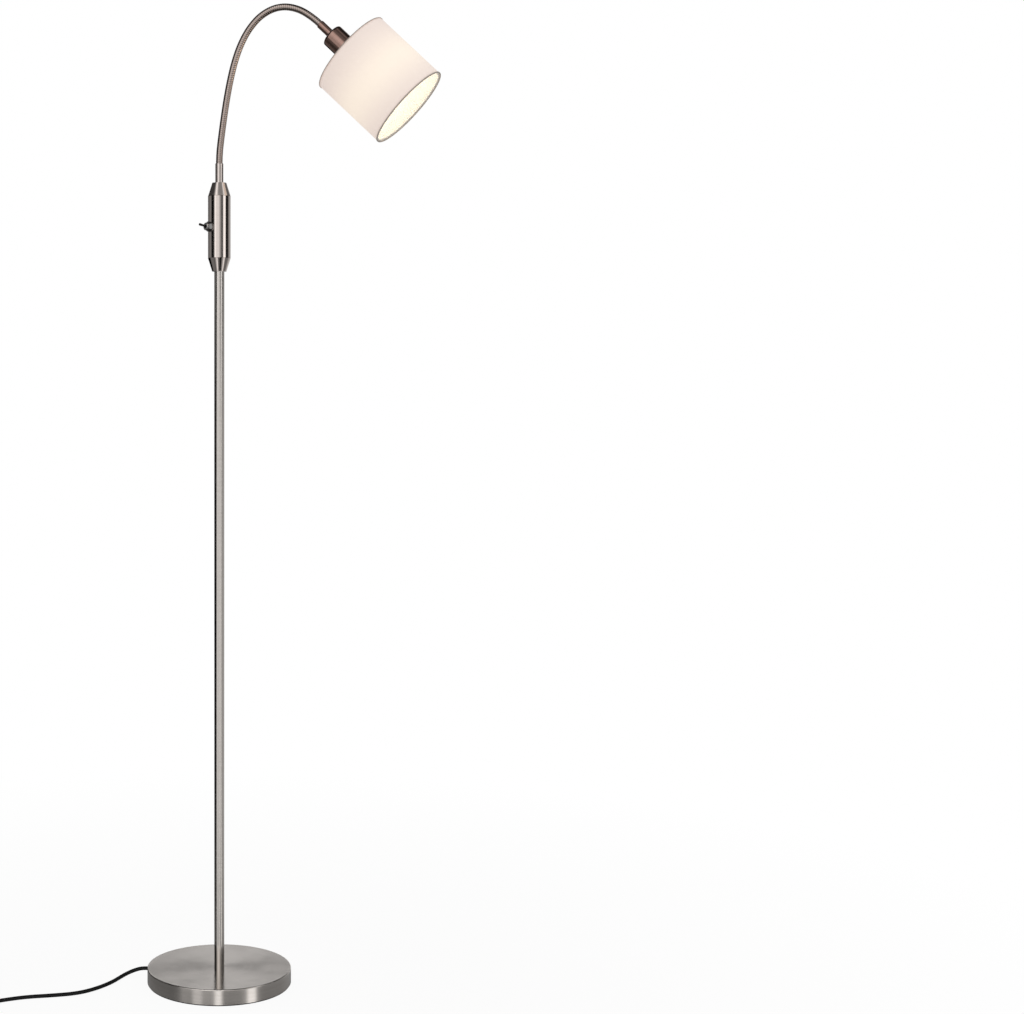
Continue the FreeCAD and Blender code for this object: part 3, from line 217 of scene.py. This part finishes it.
def plain(name, dark, light, grain, roughness, bump=0.1, depth=0.05, **surface):
    """A finish with a soft mottle: its two tones, and the size and depth of its grain in mm."""
    made, tree, shader = new_material(name, Roughness=roughness, **surface)
    place = add(tree, "TexCoord").outputs["Object"]
    grains = {"Vector": place, "Scale": 1 / (grain * MM), "Detail": 4.0, "Roughness": 0.6}
    mottle = add(tree, "TexNoise", grains).outputs["Fac"]
    relief = add(tree, "Bump", {"Height": mottle, "Strength": bump, "Distance": depth * MM})
    feed(tree, shader, Base_Color=blend(tree, dark, light, mottle), Normal=relief.outputs[0])
    return made


def cloth_with_painted_glow(name, near, far, weave, glow_strength_near, glow_strength_far):
    """Plain-woven cloth with the lamp's light through it painted on as a glow: emission brightest beside the
    bulb, dimmer and rosier to the rims.

    weave is the size of its crossed waves, in mm a radian. Real threads are finer than the picture shows, so
    they are drawn coarser.
    """
    slub = 9  # the size of the yarn's thicker stretches in mm
    wave_radians = 20  # what a wave texture of scale 1 turns by in a metre
    made, tree, shader = new_material(name, Roughness=0.9, Sheen_Weight=0.15, Sheen_Roughness=0.5)
    parts = add(tree, "SeparateXYZ", {"Vector": head_place(tree)})
    off = add(tree, "Math", {0: parts.outputs["Z"], 1: BULB_MIDDLE * MM}, operation="SUBTRACT")
    away = add(tree, "Math", {0: off.outputs[0]}, operation="ABSOLUTE")
    # Painted glow: the distance from the bulb's middle, which dims the emission and turns it rosier.
    glow_fall = add(tree, "MapRange", {
        "Value": away.outputs[0], "From Min": 0.0, "From Max": GLOW_REACH * MM, "To Min": 0.0, "To Max": 1.0,
    }, interpolation_type="SMOOTHSTEP")
    threads = add(tree, "UVMap")
    wave_scale = 1 / (weave * MM) / wave_radians
    wave = {"Vector": threads.outputs[0], "Scale": wave_scale, "Distortion": 1.2, "Detail": 2.0}
    warp = add(tree, "TexWave", wave, bands_direction="X")
    weft = add(tree, "TexWave", wave, bands_direction="Y")
    woven = add(tree, "Math", {0: warp.outputs["Fac"], 1: weft.outputs["Fac"]}, operation="MULTIPLY")
    slubs = add(tree, "TexNoise", {"Vector": threads.outputs[0], "Scale": 1 / (slub * MM), "Detail": 3.0})
    thread_tone = add(tree, "MapRange", {"Value": woven.outputs[0], "To Min": 0.96, "To Max": 1.0})
    slub_tone = add(tree, "MapRange", {"Value": slubs.outputs["Fac"], "To Min": 0.97, "To Max": 1.02})
    tone = add(tree, "Math", {0: thread_tone.outputs[0], 1: slub_tone.outputs[0]}, operation="MULTIPLY")
    # The painted glow's strength, from beside the bulb out to the rims.
    strengths = {"Value": glow_fall.outputs[0], "To Min": glow_strength_near, "To Max": glow_strength_far}
    strength = add(tree, "MapRange", strengths)
    shine = add(tree, "Math", {0: strength.outputs[0], 1: tone.outputs[0]}, operation="MULTIPLY")
    relief = add(tree, "Bump", {"Height": woven.outputs[0], "Strength": 0.2, "Distance": 0.1 * MM})
    feed(tree, shader, Normal=relief.outputs[0], Emission_Strength=shine.outputs[0],
         Emission_Color=blend(tree, near, far, glow_fall.outputs[0]))
    shader.inputs["Base Color"].default_value = linear("#ECE6E0")
    return made


def lit_opal():
    """The bulb's glass, lit from inside: yellower at its neck."""
    made, tree, shader = new_material("lit_opal_glass", Roughness=0.35, IOR=1.5, Emission_Strength=3.0)
    shader.inputs["Base Color"].default_value = linear("#FFFFFF")
    parts = add(tree, "SeparateXYZ", {"Vector": head_place(tree)})
    from_neck = add(tree, "MapRange", {
        "Value": parts.outputs["Z"], "From Min": BULB_NECK * MM, "From Max": BULB_MIDDLE * MM,
        "To Min": 0.0, "To Max": 1.0,
    })
    feed(tree, shader, Emission_Color=blend(tree, "#FFE2B8", "#FFF1DA", from_neck.outputs[0]))
    return made


# Satin nickel plate on the pole and the pressed foot: soft grey, fine-brushed, with long streaks of light.
satin_nickel = turned_metal("satin_nickel_plate", "#C6C0BA", "#D2CCC7", 0.17, 5, anisotropy=0.5)
# Bright nickel plate on the switch housing: the same grey, but hard-edged black and white bands.
bright_nickel = turned_metal("bright_nickel_plate", "#CBC0BA", "#D6CCC6", 0.1, 5, anisotropy=0.3)
# The same plate round the head's axis, painted darker and browner than on the housing: painted shade and a warm
# painted reflection.
head_nickel_painted_shade = turned_metal("bright_nickel_plate_head", "#8F7268", "#A08278", 0.12, 5, around_head=True)
# Bright nickel over a wound steel neck: dark in its grooves, hard bright streaks on the crests.
neck_nickel = plain("bright_nickel_neck", "#A6978F", "#B4A59E", 6, 0.12, bump=0.03, Metallic=1.0)
# Mirror chrome on the switch: black and white reflections.
chrome = plain("mirror_chrome", "#A3A19F", "#B8B6B4", 4, 0.08, bump=0.02, Metallic=1.0)
# The switch's chrome on the lever, painted nearly black: painted shade. Its hard small highlight is a real
# reflection.
chrome_painted_dark = plain("chrome_painted_dark", "#3E3B3A", "#4C4948", 4, 0.1, bump=0.02, Metallic=1.0)
# Zinc-plated steel inside: dull and slightly cloudy.
zinc = plain("zinc_plated_steel", "#9FA3A5", "#BFC2C2", 7, 0.36, Metallic=1.0)
# White-enamelled wire of the shade's frame.
enamel = plain("white_enamelled_wire", "#E2DFDA", "#F0EEEA", 10, 0.3, bump=0.05, IOR=1.5)
# Grey cast iron: dark and pebbled.
iron = plain("grey_cast_iron", "#2F2E2D", "#4A4846", 1.6, 0.8, bump=0.6, depth=0.3, Metallic=0.6)
# Pressed wool felt: dark and fibrous, no shine.
felt = plain("pressed_felt", "#1C1B1B", "#343232", 0.8, 1.0, bump=0.8, depth=0.2, Sheen_Weight=0.4)
# Soft black PVC, extruded and moulded: nearly black with a wide dull shine.
pvc = plain("black_pvc", "#060607", "#0E0F10", 3, 0.5, bump=0.08, IOR=1.5, Specular_IOR_Level=0.3)
# Black phenolic moulding: harder and glossier than the PVC.
phenolic = plain("black_phenolic", "#0E0D0D", "#191717", 5, 0.28, bump=0.05, IOR=1.6)
# Rolled brass: yellow, lightly tarnished.
brass = plain("rolled_brass", "#A98548", "#CDA964", 5, 0.3, Metallic=1.0)
# Spun aluminium of the bulb's cap.
aluminium = plain("spun_aluminium", "#B9BBBD", "#D6D7D8", 5, 0.35, Metallic=1.0)
# Nickel-plated brass of the plug's blades.
blade_metal = plain("plated_blades", "#B4AFA4", "#CFCABF", 5, 0.25, Metallic=1.0)
# Insulated wire.
wire_insulation = plain("wire_insulation", "#18181A", "#2A2A2D", 3, 0.5, IOR=1.5)
# White cover cloth over the lit bulb, with the bulb's light through it painted on as a glow that is rosier to
# the rims.
cover_cloth = cloth_with_painted_glow("white_cover_cloth", "#FFE9CF", "#F9D9CC", 1.6, 0.5, 0.34)
# Pale liner, the inside of the shade, with the bulb's light on it painted on as a glow.
liner_film = cloth_with_painted_glow("pale_liner", "#FFF8E4", "#FFF3D6", 1.6, 0.25, 0.2)
# Binding tape over the rims, in a grey that is partly the tape's own tone and partly painted shade of a rim
# with no light behind it.
binding = plain("binding_tape", "#B0A69E", "#C6BDB4", 1.2, 0.85, bump=0.3, depth=0.1)
# Woven nylon strap round the coil.
strap_weave = plain("nylon_strap", "#141415", "#262628", 1.0, 0.7, bump=0.5, depth=0.1)

# Opal glass with the filament burning behind it: warm white.
lit_glass = lit_opal()

NODE_FINISHES = {
    satin_nickel: ["base_cover", "pole_lower", "pole_middle", "pole_upper"],
    bright_nickel: ["lower_end_cap", "upper_end_cap", "switch_housing", "lower_ferrule"],
    head_nickel_painted_shade: ["socket_cup", "upper_ferrule"],
    neck_nickel: [f"neck_link_{link:02d}" for link in range(1, 13)],
    chrome: ["switch_collar", "switch_nut"],
    chrome_painted_dark: ["toggle_lever"],
    zinc: [
        "base_stud", "base_washer", "lock_nuts", "pole_inserts", "pole_couplers", "pole_nipple", "cup_nut",
    ],
    enamel: ["shade_spider", "shade_bottom_ring"],
    iron: ["base_weight"],
    felt: ["base_pad"],
    pvc: ["cord_bushing", "cord_stretch", "cord_coil", "plug_body"],
    phenolic: ["switch_body", "socket_body", "shade_retaining_ring"],
    brass: ["screw_shell", "centre_contact"],
    aluminium: ["bulb_cap"],
    blade_metal: ["plug_blades"],
    lit_glass: ["bulb_globe"],
    wire_insulation: ["supply_wires", "wire_connectors"],
    cover_cloth: ["shade_fabric"],
    liner_film: ["shade_liner"],
    binding: ["shade_top_trim", "shade_bottom_trim"],
    strap_weave: ["coil_tie"],
}
for finish, names in NODE_FINISHES.items():
    for name in names:
        nodes[name].material_slots[0].material = finish


# ---------------------------------------------------------------- making pieces

def piece(bm, name, finish, body=None, place=None, sharp=40):
    """A mesh piece with its place in its mesh, smooth but for edges sharper than the given angle."""
    if place:
        bmesh.ops.transform(bm, matrix=place, verts=bm.verts)
    mesh = bpy.data.meshes.new(name)
    bm.to_mesh(mesh)
    bm.free()
    mesh.shade_smooth()
    mesh.set_sharp_from_angle(angle=math.radians(sharp))
    mesh.materials.append(finish)
    made = bpy.data.objects.new(name, mesh)
    bpy.context.collection.objects.link(made)
    if body:
        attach(made, body)
    return made


def turned(corners, steps=TURN_STEPS):
    """A closed outline of (radius, height) corners in mm, turned round the Z axis."""
    bm = bmesh.new()
    verts = [bm.verts.new((radius * MM, 0, height * MM)) for radius, height in corners]
    edges = [bm.edges.new(pair) for pair in zip(verts, verts[1:] + verts[:1])]
    bmesh.ops.spin(
        bm, geom=verts + edges, cent=(0, 0, 0), axis=Z_AXIS, dvec=(0, 0, 0), angle=2 * math.pi,
        steps=steps, use_merge=True, use_normal_flip=False, use_duplicate=False,
    )
    bmesh.ops.remove_doubles(bm, verts=bm.verts, dist=SAME_POINT * MM)
    bmesh.ops.recalc_face_normals(bm, faces=bm.faces)
    return bm


# ---------------------------------------------------------------- gooseneck

def wound_rib(start, end):
    """A straight stretch of the neck between two heights: one rib wound round it like a screw, cut level."""
    first = math.floor(start / RIB_PITCH) - 1
    turns_of_rib = math.ceil(end / RIB_PITCH) - first
    bm = bmesh.new()
    verts = []
    for k in range(RIB_POINTS + 1):
        share = k / RIB_POINTS
        radius = NECK_VALLEY + (NECK_CREST - NECK_VALLEY) * math.sin(math.pi * share) ** RIB_FULLNESS
        verts.append(bm.verts.new((radius * MM, 0, (first + share) * RIB_PITCH * MM)))
    edges = [bm.edges.new(pair) for pair in zip(verts, verts[1:])]
    bmesh.ops.spin(
        bm, geom=verts + edges, cent=(0, 0, 0), axis=Z_AXIS, dvec=Z_AXIS * (RIB_PITCH * MM / RIB_STEPS),
        angle=2 * math.pi, steps=RIB_STEPS, use_merge=False, use_normal_flip=False, use_duplicate=False,
    )
    one_turn = bm.verts[:] + bm.edges[:] + bm.faces[:]
    for turn in range(1, turns_of_rib):
        copied = bmesh.ops.duplicate(bm, geom=one_turn)["geom"]
        moved = [part for part in copied if isinstance(part, bmesh.types.BMVert)]
        bmesh.ops.translate(bm, vec=Z_AXIS * (turn * RIB_PITCH * MM), verts=moved)
    bmesh.ops.remove_doubles(bm, verts=bm.verts, dist=RIBS_MEET * MM)
    for height, way in ((start, -1), (end, 1)):
        bmesh.ops.bisect_plane(
            bm, geom=bm.verts[:] + bm.edges[:] + bm.faces[:], dist=SAME_POINT * MM,
            plane_co=(0, 0, height * MM), plane_no=(0, 0, way), clear_outer=True,
        )
    bmesh.ops.recalc_face_normals(bm, faces=bm.faces)
    return bm


def neck():
    """One skin wound over each link, with a ball in each joint that fills the gap when the neck bends there.

    The first and the last skin run on into the ferrules.
    """
    links = len(LINK_TURNS)
    bodies = ["root"] + [f"neck_{link:02d}" for link in range(2, links)] + ["head"]
    for link, body in enumerate(bodies, 1):
        start = -FERRULE_SOCKET if link == 1 else (link - 1) * LINK_LENGTH
        end = links * LINK_LENGTH + FERRULE_SOCKET if link == links else link * LINK_LENGTH
        bm = wound_rib(start, end)
        for vert in bm.verts:
            spot, heading = on_neck(vert.co.z / MM)
            vert.co = spot * MM + Matrix.Rotation(heading, 3, "Y") @ Vector((vert.co.x, vert.co.y, 0))
        skin = piece(bm, f"neck_skin_{link:02d}", neck_nickel, body)
        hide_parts(f"neck_link_{link:02d}")
    bead = [
        (BALL_RADIUS * math.cos(math.radians(angle)), BALL_RADIUS * math.sin(math.radians(angle)))
        for angle in range(-BALL_REACH, BALL_REACH + 1, BALL_STEP)
    ]
    for joint in range(1, links):
        pivot, heading = on_neck(joint * LINK_LENGTH)
        place = Matrix.Translation(pivot * MM) @ Matrix.Rotation(heading, 4, "Y")
        ball = turned(bead, RIB_STEPS)
        piece(ball, f"neck_ball_{joint:02d}", neck_nickel, bodies[joint], place)


neck()


# ---------------------------------------------------------------- shade

def rolled_sheet(name, finish, radius, inset, thickness, lap, seam):
    """A flat sheet rolled round the head's axis and glued where its outer end laps over its inner one.

    inset is how far it stays inside each rim of the shade. seam is where its inner end lies round the axis,
    in degrees; 90 is the side away from the camera.
    """
    low, high = SHADE_START + inset, SHADE_END - inset
    width = 2 * math.pi * radius + lap
    length = high - low
    bm = bmesh.new()
    bmesh.ops.create_grid(bm, x_segments=192, y_segments=24, size=0.5)
    uv = bm.loops.layers.uv.new("flat")
    for face in bm.faces:
        for loop in face.loops:
            loop[uv].uv = ((loop.vert.co.x + 0.5) * width * MM, (loop.vert.co.y + 0.5) * length * MM)
    for vert in bm.verts:
        run = (vert.co.x + 0.5) * width
        # The outer end climbs onto the inner one over two laps' length, and lies on it for the last one.
        climb = min(max((run - (width - 3 * lap)) / (2 * lap), 0), 1)
        out = radius + thickness * climb * climb * (3 - 2 * climb)
        angle = math.radians(seam) + run / radius
        height = low + (vert.co.y + 0.5) * length
        vert.co = Vector((out * math.cos(angle), out * math.sin(angle), height)) * MM
    bmesh.ops.recalc_face_normals(bm, faces=bm.faces)
    sheet = piece(bm, name, finish, place=HEAD)
    solid = sheet.modifiers.new("thickness", "SOLIDIFY")
    solid.thickness = thickness * MM
    solid.offset = 0
    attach(sheet, "head")
    return sheet, (width * MM, length * MM)


def rim_fold(radius, rim, inward):
    """The half round of a fold over a rim, from the outside in, as (radius, height) corners in mm."""
    half = BINDING_ACROSS / 2
    turns = [math.radians(angle) for angle in range(0, 181, 20)]
    return [
        (SHADE_RIM - half + radius * math.cos(turn), rim + inward * (half - radius * math.sin(turn)))
        for turn in turns
    ]


def rim_binding(name, rim, inward, leg):
    """Binding tape with a soft fold over a rim; inward is the way into the shade, 1 or -1 along the axis."""
    inner, outer = SHADE_RIM - BINDING_ACROSS, SHADE_RIM
    outer_end, inner_end = rim + inward * leg, rim + inward * leg * INNER_LEG_SHARE
    outside = rim_fold(BINDING_ACROSS / 2, rim, inward)
    inside = rim_fold(BINDING_ACROSS / 2 - TAPE, rim, inward)[::-1]
    profile = [(outer, outer_end)] + outside + [(inner, inner_end)]
    profile += [(inner + TAPE, inner_end)] + inside + [(outer - TAPE, outer_end)]
    return piece(turned(profile), name, binding, "head", HEAD, sharp=60)


def shade():
    """The cover and its lining, with their seams on the side away from the camera, and the two bindings."""
    cover, cover_flat = rolled_sheet(
        "shade_cover", cover_cloth, radius=67.95, inset=0.5, thickness=0.5, lap=8, seam=90)
    liner, liner_flat = rolled_sheet(
        "shade_lining", liner_film, radius=67.2, inset=0.6, thickness=0.3, lap=6, seam=100)
    top = rim_binding("top_binding", SHADE_START, 1, TOP_LEG)
    mouth = rim_binding("mouth_binding", SHADE_END, -1, MOUTH_LEG)
    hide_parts("shade_fabric")
    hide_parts("shade_liner")
    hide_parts("shade_top_trim")
    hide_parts("shade_bottom_trim")


shade()


# ---------------------------------------------------------------- cord

# The cord's route, in mm: out of the foot, down to the floor and off to the left.
CORD_POINTS = [
    (-116.55, 0, 13.5),
    (-128, 0, 13.5),
    (-141.5, -2.6, 9.6),
    (-153, -11.5, 5.4),
    (-159.6, -26, 3.1),
    (-164.5, -49, 3),
    (-178, -82, 3),
    (-200, -112, 3),
    (-236, -131, 3),
    (-276, -148, 3),
    (-312, -176.5, 3),
    (-337.27, -199.25, 3),
    (-341.73, -203.26, 3),
]
# The coil lies clockwise from its start, in degrees round its centre, in two layers one above the other.
COIL_CENTRE = (-372.506, -169.081)
COIL_START = 312.0
COIL_LOOPS = 6.3667
COIL_OUTER, COIL_INNER = 46.0, 25.2
COIL_LOW, COIL_LAYER = 3.7, 6.5
POINTS_A_LOOP = 16
# A spline of order 3 runs inside its points by this share of the loop's radius.
SPLINE_SHARE = 0.984
# Off the coil and into the back of the plug.
TAIL_POINTS = [
    (-418.506, -163, 10.1),
    (-418.506, -157, 9.2),
    (-418.506, -151, 8.6),
    (-418.506, -145.081, 8.6),
]


def coil_points():
    """Loops that spiral in on the floor, climb one layer in the middle half turn and spiral out again."""
    count = round(COIL_LOOPS * POINTS_A_LOOP)
    points = []
    for k in range(1, count + 1):
        past_middle = (k / count - 0.5) * COIL_LOOPS
        radius = COIL_INNER + (COIL_OUTER - COIL_INNER) * abs(past_middle) / (COIL_LOOPS / 2)
        climb = min(max(past_middle * 2 + 0.5, 0), 1)
        height = COIL_LOW + COIL_LAYER * climb * climb * (3 - 2 * climb)
        angle = math.radians(COIL_START - 360 * COIL_LOOPS * k / count)
        reach = radius / SPLINE_SHARE
        across, along = reach * math.cos(angle), reach * math.sin(angle)
        points.append((COIL_CENTRE[0] + across, COIL_CENTRE[1] + along, height))
    return points


def cord():
    """One smooth round cord from the foot to the plug."""
    route = CORD_POINTS + coil_points() + TAIL_POINTS
    curve = bpy.data.curves.new("mains_cord", "CURVE")
    curve.dimensions = "3D"
    curve.bevel_depth = CORD_DIAMETER / 2 * MM
    curve.bevel_resolution = 5
    curve.resolution_u = 6
    curve.use_fill_caps = True
    spline = curve.splines.new("NURBS")
    spline.points.add(len(route) - 1)
    for point, spot in zip(spline.points, route):
        point.co = (*(Vector(spot) * MM), 1)
    spline.order_u = 3
    spline.use_endpoint_u = True
    curve.materials.append(pvc)
    flex = bpy.data.objects.new("mains_cord", curve)
    bpy.context.collection.objects.link(flex)
    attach(flex, "root")
    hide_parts("cord_stretch", "cord_coil")


cord()


# ---------------------------------------------------------------- studio

# From here on in metres. The studio's front, round the lamp from +X, is the camera's side.
FRONT = math.radians(-75.45)
FLOOR_HALF = 12
# The floor under the lamp is this near to pure white for the eye, and all white from the outer distance on.
FLOOR_WHITENESS, SHADED_OUT_TO, WHITE_FROM = 0.93, 0.35, 1.6


def floor():
    """A pale paper floor that runs out into white, and keeps the lamp's shadow."""
    made, tree, shader = new_material("pale_paper_floor", Roughness=0.9)
    shader.inputs["Base Color"].default_value = linear("#F6F5F4")
    white = add(tree, "Emission", {"Color": (1, 1, 1, 1), "Strength": 1.0})
    from_middle = add(tree, "VectorMath", {0: add(tree, "TexCoord").outputs["Object"]}, operation="LENGTH")
    fade = add(tree, "MapRange", {
        "Value": from_middle.outputs["Value"], "From Min": SHADED_OUT_TO, "From Max": WHITE_FROM,
        "To Min": FLOOR_WHITENESS, "To Max": 1.0,
    })
    rays = add(tree, "LightPath")
    share = add(tree, "Math", {0: fade.outputs[0], 1: rays.outputs["Is Camera Ray"]}, operation="MULTIPLY")
    both = add(tree, "MixShader", {0: share.outputs[0], 1: shader.outputs[0], 2: white.outputs[0]})
    tree.links.new(both.outputs[0], tree.nodes["Material Output"].inputs["Surface"])
    bm = bmesh.new()
    bmesh.ops.create_grid(bm, x_segments=1, y_segments=1, size=FLOOR_HALF)
    mesh = bpy.data.meshes.new("floor")
    bm.to_mesh(mesh)
    bm.free()
    mesh.materials.append(made)
    ground = bpy.data.objects.new("floor", mesh)
    bpy.context.collection.objects.link(ground)
    # The lamp's metal shows the studio's screens below it too, as it does in the photograph.
    ground.visible_glossy = False


# The studio's tall soft lights and dark screens, which stand still round the lamp and show in polished metal.
# A set is a list of (degrees, brightness): the way round from the studio's front, to the camera's right, and
# how bright the screens are there. The sets follow the photograph's brightness, read across the round parts
# and turned into the directions that round metal mirrors, and were then changed until the bands agreed.
BELOW_SET = [(-180, 0.02), (180, 0.02)]
LOW_SET = [
    (-180, 0.2), (-140, 0.2), (-124, 0.15), (-100, 0.06), (-73, 0.03), (-55, 0.06), (-41, 0.34), (-33, 0.5),
    (-27, 1.0), (-21, 0.5), (-12, 0.12), (3, 0.01), (21, 0.01), (30, 0.15), (40, 0.38), (51, 0.55),
    (60, 0.38), (67, 0.18), (85, 0.02), (101, 0.01), (120, 0.02), (150, 0.2), (180, 0.2),
]
FOOT_SET = [
    (-180, 0.02), (-160, 0.14), (-128, 0.14), (-60, 0.14), (-46, 0.1), (-40, 0.42), (-31, 0.42), (-25, 0.12),
    (-10, 0.15), (-4, 1.0), (2, 1.0), (6, 0.0), (34, 0.0), (43, 0.2), (48, 1.0), (58, 1.0), (64, 0.2),
    (72, 0.11), (116, 0.12), (160, 0.13), (180, 0.02),
]
POLE_SET = [
    (-180, 0.05), (-168, 0.0), (-77, 0.0), (-68, 0.1), (-59, 0.58), (-40, 0.55), (-13, 0.52), (9, 0.58),
    (33, 0.6), (45, 0.46), (56, 0.34), (81, 0.28), (116, 0.28), (140, 0.45), (172, 0.5), (180, 0.1),
]
HOUSING_SET = [
    (-180, 0.12), (-165, 0.15), (-126, 0.1), (-108, 0.18), (-92, 0.16), (-83, 0.0), (-57, 0.0),
    (-50, 0.4), (-45, 0.95), (-38, 0.92), (-28, 0.66), (-8, 0.68), (-1, 0.5), (12, 0.22), (22, 0.06),
    (36, 0.05), (43, 0.95), (63, 1.0), (68, 0.1), (72, 0.0), (95, 0.0), (103, 0.12), (121, 0.28), (150, 0.4),
    (172, 0.4), (180, 0.12),
]
NECK_SET = [
    (-180, 0.7), (-164, 0.6), (-150, 0.04), (-120, 0.01), (-84, 0.01), (-62, 0.2), (-45, 0.6), (-23, 0.9),
    (0, 0.75), (20, 0.4), (40, 0.12), (56, 0.04), (92, 0.04), (120, 0.1), (150, 0.2), (164, 0.6), (180, 0.7),
]
# The same, but for a dark slot right behind the lamp, which shows as a dark fan on the turned foot.
SLOT_SET = [(-180, 0.05), (-168, 0.08)] + NECK_SET[2:-2] + [(168, 0.08), (180, 0.05)]
ARC_SET = [
    (-180, 0.75), (-164, 0.6), (-150, 0.1), (-100, 0.03), (-70, 0.05), (-50, 0.5), (-30, 0.85), (-10, 0.9),
    (12, 0.9), (20, 0.3), (40, 0.2), (60, 0.5), (90, 0.2), (120, 0.05), (150, 0.1), (164, 0.6), (180, 0.75),
]
HIGH_SET = [
    (-180, 0.12), (-122, 0.06), (-100, 0.05), (-77, 0.03), (-62, 0.1), (-53, 0.4), (-38, 0.92), (-28, 0.7),
    (-14, 0.25), (0, 0.2), (38, 0.2), (50, 0.5), (60, 0.92), (72, 0.9), (85, 0.3), (101, 0.05), (122, 0.01),
    (180, 0.12),
]
CEILING_SET = [(-180, 0.02), (180, 0.02)]
# The sine of the angle above the horizon that each set stands at, from the floor up; between two heights the
# screens blend. Each set is named for the part of the lamp that shows it most.
SCREENS = [
    (-0.9, BELOW_SET), (-0.68, LOW_SET), (-0.5, LOW_SET), (-0.42, FOOT_SET), (-0.31, FOOT_SET),
    (-0.28, POLE_SET), (0.025, POLE_SET), (0.04, HOUSING_SET), (0.13, HOUSING_SET), (0.17, NECK_SET),
    (0.27, NECK_SET), (0.3, SLOT_SET), (0.34, SLOT_SET), (0.38, NECK_SET), (0.45, ARC_SET), (0.62, HIGH_SET),
    (0.75, HIGH_SET), (0.92, CEILING_SET),
]
# The strength of the screens, and of the even light on all that isn't polished.
SCREEN_GLOW, ROOM_LIGHT = 1.6, 0.6


def studio():
    """A white surround for the eye, soft even light for the lamp, and the screens for what metal reflects."""
    world = bpy.data.worlds.new("studio")
    bpy.context.scene.world = world
    world.use_nodes = True
    tree = world.node_tree
    tree.nodes.clear()
    parts = add(tree, "SeparateXYZ", {"Vector": add(tree, "TexCoord").outputs["Generated"]})
    angle = add(tree, "Math", {0: parts.outputs["Y"], 1: parts.outputs["X"]}, operation="ARCTAN2")
    from_front = add(tree, "Math", {0: angle.outputs[0], 1: FRONT}, operation="SUBTRACT")
    # Round the lamp from 0, right behind it, by way of 0.5 at the front, to 1 behind it again.
    shares = {0: from_front.outputs[0], 1: 1 / (2 * math.pi), 2: 0.5}
    turn = add(tree, "Math", shares, operation="MULTIPLY_ADD")
    place = add(tree, "Math", {0: turn.outputs[0]}, operation="FRACT")
    shown, lower = None, None
    for height, bands in SCREENS:
        ramp = add(tree, "ValToRGB", {"Fac": place.outputs[0]})
        stops(ramp, *[((degrees + 180) / 360, value) for degrees, value in bands])
        if shown is None:
            shown = ramp.outputs["Color"]
        else:
            climb = {"Value": parts.outputs["Z"], "From Min": lower, "From Max": height}
            share = add(tree, "MapRange", climb)
            mix = {"A": shown, "B": ramp.outputs["Color"], "Factor": share.outputs[0]}
            shown = add(tree, "Mix", mix, data_type="RGBA").outputs["Result"]
        lower = height
    seen = add(tree, "Background", {"Color": (1, 1, 1, 1), "Strength": 1.0})
    mirrored = add(tree, "Background", {"Color": shown, "Strength": SCREEN_GLOW})
    ambient = add(tree, "Background", {"Color": (1, 1, 1, 1), "Strength": ROOM_LIGHT})
    rays = add(tree, "LightPath").outputs
    by_ray = {0: rays["Is Glossy Ray"], 1: ambient.outputs[0], 2: mirrored.outputs[0]}
    lighting = add(tree, "MixShader", by_ray).outputs[0]
    final = add(tree, "MixShader", {0: rays["Is Camera Ray"], 1: lighting, 2: seen.outputs[0]}).outputs[0]
    add(tree, "OutputWorld", {"Surface": final})


def soft_light(name, spot, aim, side, watts):
    """A square soft light at one spot that points at another."""
    light = bpy.data.lights.new(name, "AREA")
    light.size = side
    light.energy = watts
    lamp = bpy.data.objects.new(name, light)
    lamp.location = spot
    lamp.rotation_euler = (Vector(aim) - Vector(spot)).to_track_quat("-Z", "Y").to_euler()
    bpy.context.collection.objects.link(lamp)
    lamp.visible_glossy = False


# The photograph's own viewpoint: where the lens is, how it is turned in degrees, and its frame and focal
# length in mm. The lamp stands left of the middle, so the lens is shifted, by this share of the frame.
EYE = (0.7116, -2.7423, 0.95085)
EYE_TURN, EYE_DOWN, EYE_ROLL = 13.09, 3.773, 0.098
FRAME_WIDTH, FOCAL_LENGTH, LENS_SHIFT = 36, 63.28, 0.2412


def camera():
    """Looks at the lamp as the photograph does."""
    data = bpy.data.cameras.new("camera")
    data.sensor_width = FRAME_WIDTH
    data.lens = FOCAL_LENGTH
    data.shift_x = LENS_SHIFT
    eye = bpy.data.objects.new("camera", data)
    eye.matrix_world = (
        Matrix.Translation(EYE)
        @ Matrix.Rotation(math.radians(EYE_TURN), 4, "Z")
        @ Matrix.Rotation(math.radians(90 - EYE_DOWN), 4, "X")
        @ Matrix.Rotation(math.radians(EYE_ROLL), 4, "Z")
    )
    bpy.context.collection.objects.link(eye)
    bpy.context.scene.camera = eye


floor()
studio()
soft_light("overhead", spot=(0.6, -1.4, 3.2), aim=(0, 0, 0.6), side=2.2, watts=5)
camera()
bpy.context.scene.view_settings.view_transform = "Standard"
